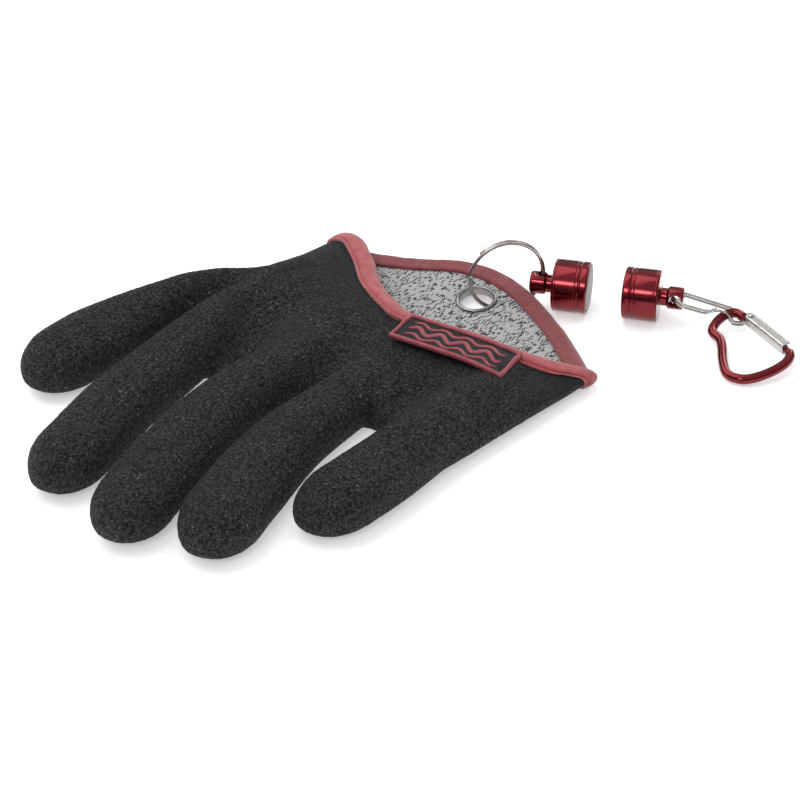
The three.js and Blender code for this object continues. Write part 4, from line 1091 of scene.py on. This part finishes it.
def tape_material(name, first, second):
    """Woven tape: fine ribs across it, soft mottling."""
    shader = Shader(name, 0.72)
    ribs = shader.noise(2300, 2.0, 0.6, shader.mapped(scale=(1, 0.45, 1)))
    weave = shader.cells(2900, "F1").outputs["Distance"]
    soft = shader.noise(230, 3.0, 0.6)
    shader.set(Base_Color=shader.blend(soft, 0.3, 0.7, first, second))
    shader.bump(shader.plus(ribs, shader.times(weave, 0.7)), 0.00016)
    shader.bump(soft, 0.0005, 0.7)
    shader.set(Sheen_Weight=0.35)
    return shader.material


def rubber_material(name, first, second):
    shader = Shader(name, 0.5)
    fine = shader.noise(1700, 3.0, 0.6)
    shader.set(Base_Color=shader.blend(shader.noise(300), 0.3, 0.7, first, second))
    shader.set(Roughness=shader.ramp(fine, 0.3, 0.7, 0.42, 0.62))
    shader.bump(fine, 0.0001)
    shader.set(Specular_IOR_Level=0.25)
    return shader.material


def steel_material(name, light, dark, roughness):
    shader = Shader(name, roughness, 1.0)
    scratch = shader.noise(420, 4.0, 0.7, shader.mapped(scale=(1, 1, 6)))
    shader.set(Base_Color=shader.blend(scratch, 0.3, 0.75, light, dark))
    shader.set(Roughness=shader.ramp(scratch, 0.3, 0.7, roughness * 0.7, roughness * 1.4))
    shader.bump(scratch, 0.00003)
    return shader.material


TURNING_PITCH = 0.0005


def anodised_material(name, turned_along=None):
    """Deep red anodised metal, with the fine rings that turning leaves."""
    shader = Shader(name, 0.2, 1.0)
    soft = shader.noise(90, 2.0, 0.5)
    shader.set(Base_Color=shader.blend(soft, 0.35, 0.7, (0.15, 0.004, 0.009, 1), (0.2, 0.007, 0.013, 1)))
    if turned_along is not None:
        along = shader.vector("DOT_PRODUCT", shader.place, tuple(turned_along), "Value")
        lines = shader.math("SINE", shader.times(along, 2 * math.pi / TURNING_PITCH))
        shader.bump(lines, 0.0000015)
    shader.set(Coat_Weight=0.5, Coat_Roughness=0.06)
    return shader.material


def magnet_material():
    """Dull plated magnet face with pits and smears."""
    shader = Shader("plated_magnet", 0.5, 0.75)
    patches = shader.noise(420, 4.0, 0.65)
    pits = shader.noise(1500, 2.0, 0.5)
    base = shader.blend(patches, 0.35, 0.65, (0.2, 0.19, 0.18, 1), (0.5, 0.48, 0.45, 1))
    shader.set(Base_Color=shader.blend(pits, 0.58, 0.7, base, (0.08, 0.075, 0.07, 1)))
    shader.set(Roughness=shader.ramp(patches, 0.3, 0.7, 0.38, 0.65))
    shader.bump(pits, 0.00008)
    return shader.material


def dress(piece, material, nodes, body=ROOT):
    piece.data.materials.clear()
    piece.data.materials.append(material)
    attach(piece, body)
    if nodes:
        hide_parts(*nodes)
    return piece


def make_glove():
    coating = coating_material()
    cloth = ("glove_shell", "thumb", "index_finger", "middle_finger", "ring_finger", "little_finger")
    dress(glove_skin(), coating, cloth)
    dress(knit_pocket(), knit_material(), ("knit_lining",))
    tape, upper = cuff_tape()
    light = tape_material("coral_tape", (0.37, 0.058, 0.067, 1), (0.48, 0.093, 0.099, 1))
    # The second tape material is painted shade: the same coral tape, darkened for the lower layer, which lies
    # in shade.
    dark = tape_material("brick_tape", (0.19, 0.026, 0.031, 1), (0.26, 0.04, 0.044, 1))
    dress(tape, light, ("cuff_binding",))
    # The lower layer's faces take the painted-shade copy of the tape.
    tape.data.materials.append(dark)
    for polygon in tape.data.polygons:
        polygon.material_index = 0 if upper[polygon.vertices[0]] else 1
    rim = rubber_material("red_rubber", (0.33, 0.07, 0.095, 1), (0.42, 0.105, 0.13, 1))
    dress(label_rim(), rim, ("label_border",))
    dress(label_sheet(), rubber_material("dark_rubber", (0.009, 0.0105, 0.012, 1), (0.015, 0.017, 0.019, 1)),
          ("label_patch",))
    dress(label_waves(), rim, ())


def make_metal():
    bright = steel_material("bright_steel", (0.6, 0.58, 0.56, 1), (0.32, 0.31, 0.29, 1), 0.2)
    brushed = steel_material("brushed_steel", (0.58, 0.57, 0.55, 1), (0.4, 0.39, 0.37, 1), 0.3)
    nickel = steel_material("dull_nickel", (0.34, 0.33, 0.32, 1), (0.18, 0.175, 0.17, 1), 0.3)
    dress(eyelet_piece(), nickel, ("eyelet",))
    dress(split_ring_piece(), bright, ("split_ring",))
    turned = anodised_material("turned_red", magnet_line)
    ring_there = ring_line * (RING_RADIUS - MAGNET_RADIUS)
    ring_there[2] = math.sqrt((RING_RADIUS - RING_WIRE_WIDTH / 2) ** 2 - (RING_RADIUS - MAGNET_RADIUS) ** 2)
    dress(housing_piece("housing_a", face_a, -1, ring_there), turned, ("magnet_housing_a",))
    dress(housing_piece("housing_b", face_b, 1, link_across), turned, ("magnet_housing_b",))
    plated = magnet_material()
    dress(disc_piece("disc_a", face_a, -1), plated, ("magnet_disc_a",))
    dress(disc_piece("disc_b", face_b, 1), plated, ("magnet_disc_b",))
    dress(link_piece(), bright, ("oval_link",))
    matrix = carabiner_matrix()
    dress(carabiner_piece(matrix), anodised_material("glossy_red"), ("carabiner_body",))
    dress(gate_piece(matrix), brushed, ("carabiner_gate",), "gate")
    dress(rivet_piece(matrix), brushed, ("gate_rivet",))


# The photograph's camera, in metres
CAMERA_AT = Vector((-0.6136, -0.5773, 0.559))
CAMERA_TARGET = Vector((-0.001, -0.0186, 0))
CAMERA_LENS = 128.25


def sky_colours(tree):
    """A tent of light, bright overhead and darker towards the horizon."""
    background = tree.nodes["Background"]
    direction = tree.nodes.new("ShaderNodeTexCoord").outputs["Generated"]
    split = tree.nodes.new("ShaderNodeSeparateXYZ")
    tree.links.new(direction, split.inputs[0])
    ramp = tree.nodes.new("ShaderNodeMapRange")
    ramp.interpolation_type = "SMOOTHSTEP"
    for name, value in (("From Min", 0.05), ("From Max", 0.75), ("To Min", 0.12), ("To Max", 0.62)):
        ramp.inputs[name].default_value = value
    tree.links.new(split.outputs["Z"], ramp.inputs["Value"])
    tree.links.new(ramp.outputs["Result"], background.inputs["Strength"])
    background.inputs["Color"].default_value = (1, 1, 1, 1)


def make_studio():
    floor_material = bpy.data.materials.new("pale_floor")
    floor_material.use_nodes = True
    surface = floor_material.node_tree.nodes["Principled BSDF"]
    surface.inputs["Base Color"].default_value = (0.93, 0.93, 0.93, 1)
    surface.inputs["Roughness"].default_value = 0.9
    surface.inputs["Emission Color"].default_value = (1, 1, 1, 1)
    surface.inputs["Emission Strength"].default_value = 0.42
    reach = 6000
    corners = [(-reach, -reach, -0.02), (reach, -reach, -0.02), (reach, reach, -0.02), (-reach, reach, -0.02)]
    floor = mesh_object("floor", corners, [(0, 1, 2, 3)], smooth=False)
    floor.data.materials.append(floor_material)

    world = bpy.data.worlds.new("studio")
    bpy.context.scene.world = world
    world.use_nodes = True
    sky_colours(world.node_tree)
    lamps = (
        ("key", (-0.1, 0.6, 1.0), 1.3, 8.5),
        ("fill", (-0.9, -0.4, 0.9), 0.3, 2.6),
        ("rim", (0.9, 0.2, 0.5), 0.4, 1.6),
    )
    for name, at, size, power in lamps:
        data = bpy.data.lights.new(name, "AREA")
        data.size = size
        data.energy = power
        lamp = bpy.data.objects.new(name, data)
        lamp.location = at
        lamp.rotation_euler = (Vector((0, 0, 0)) - Vector(at)).to_track_quat("-Z", "Y").to_euler()
        bpy.context.scene.collection.objects.link(lamp)

    data = bpy.data.cameras.new("camera")
    data.lens = CAMERA_LENS
    data.sensor_width = 36
    camera = bpy.data.objects.new("camera", data)
    camera.location = CAMERA_AT
    camera.rotation_euler = (CAMERA_TARGET - CAMERA_AT).to_track_quat("-Z", "Y").to_euler()
    bpy.context.scene.collection.objects.link(camera)
    bpy.context.scene.camera = camera
    bpy.context.scene.view_settings.view_transform = "Standard"


make_studio()
make_glove()
make_metal()
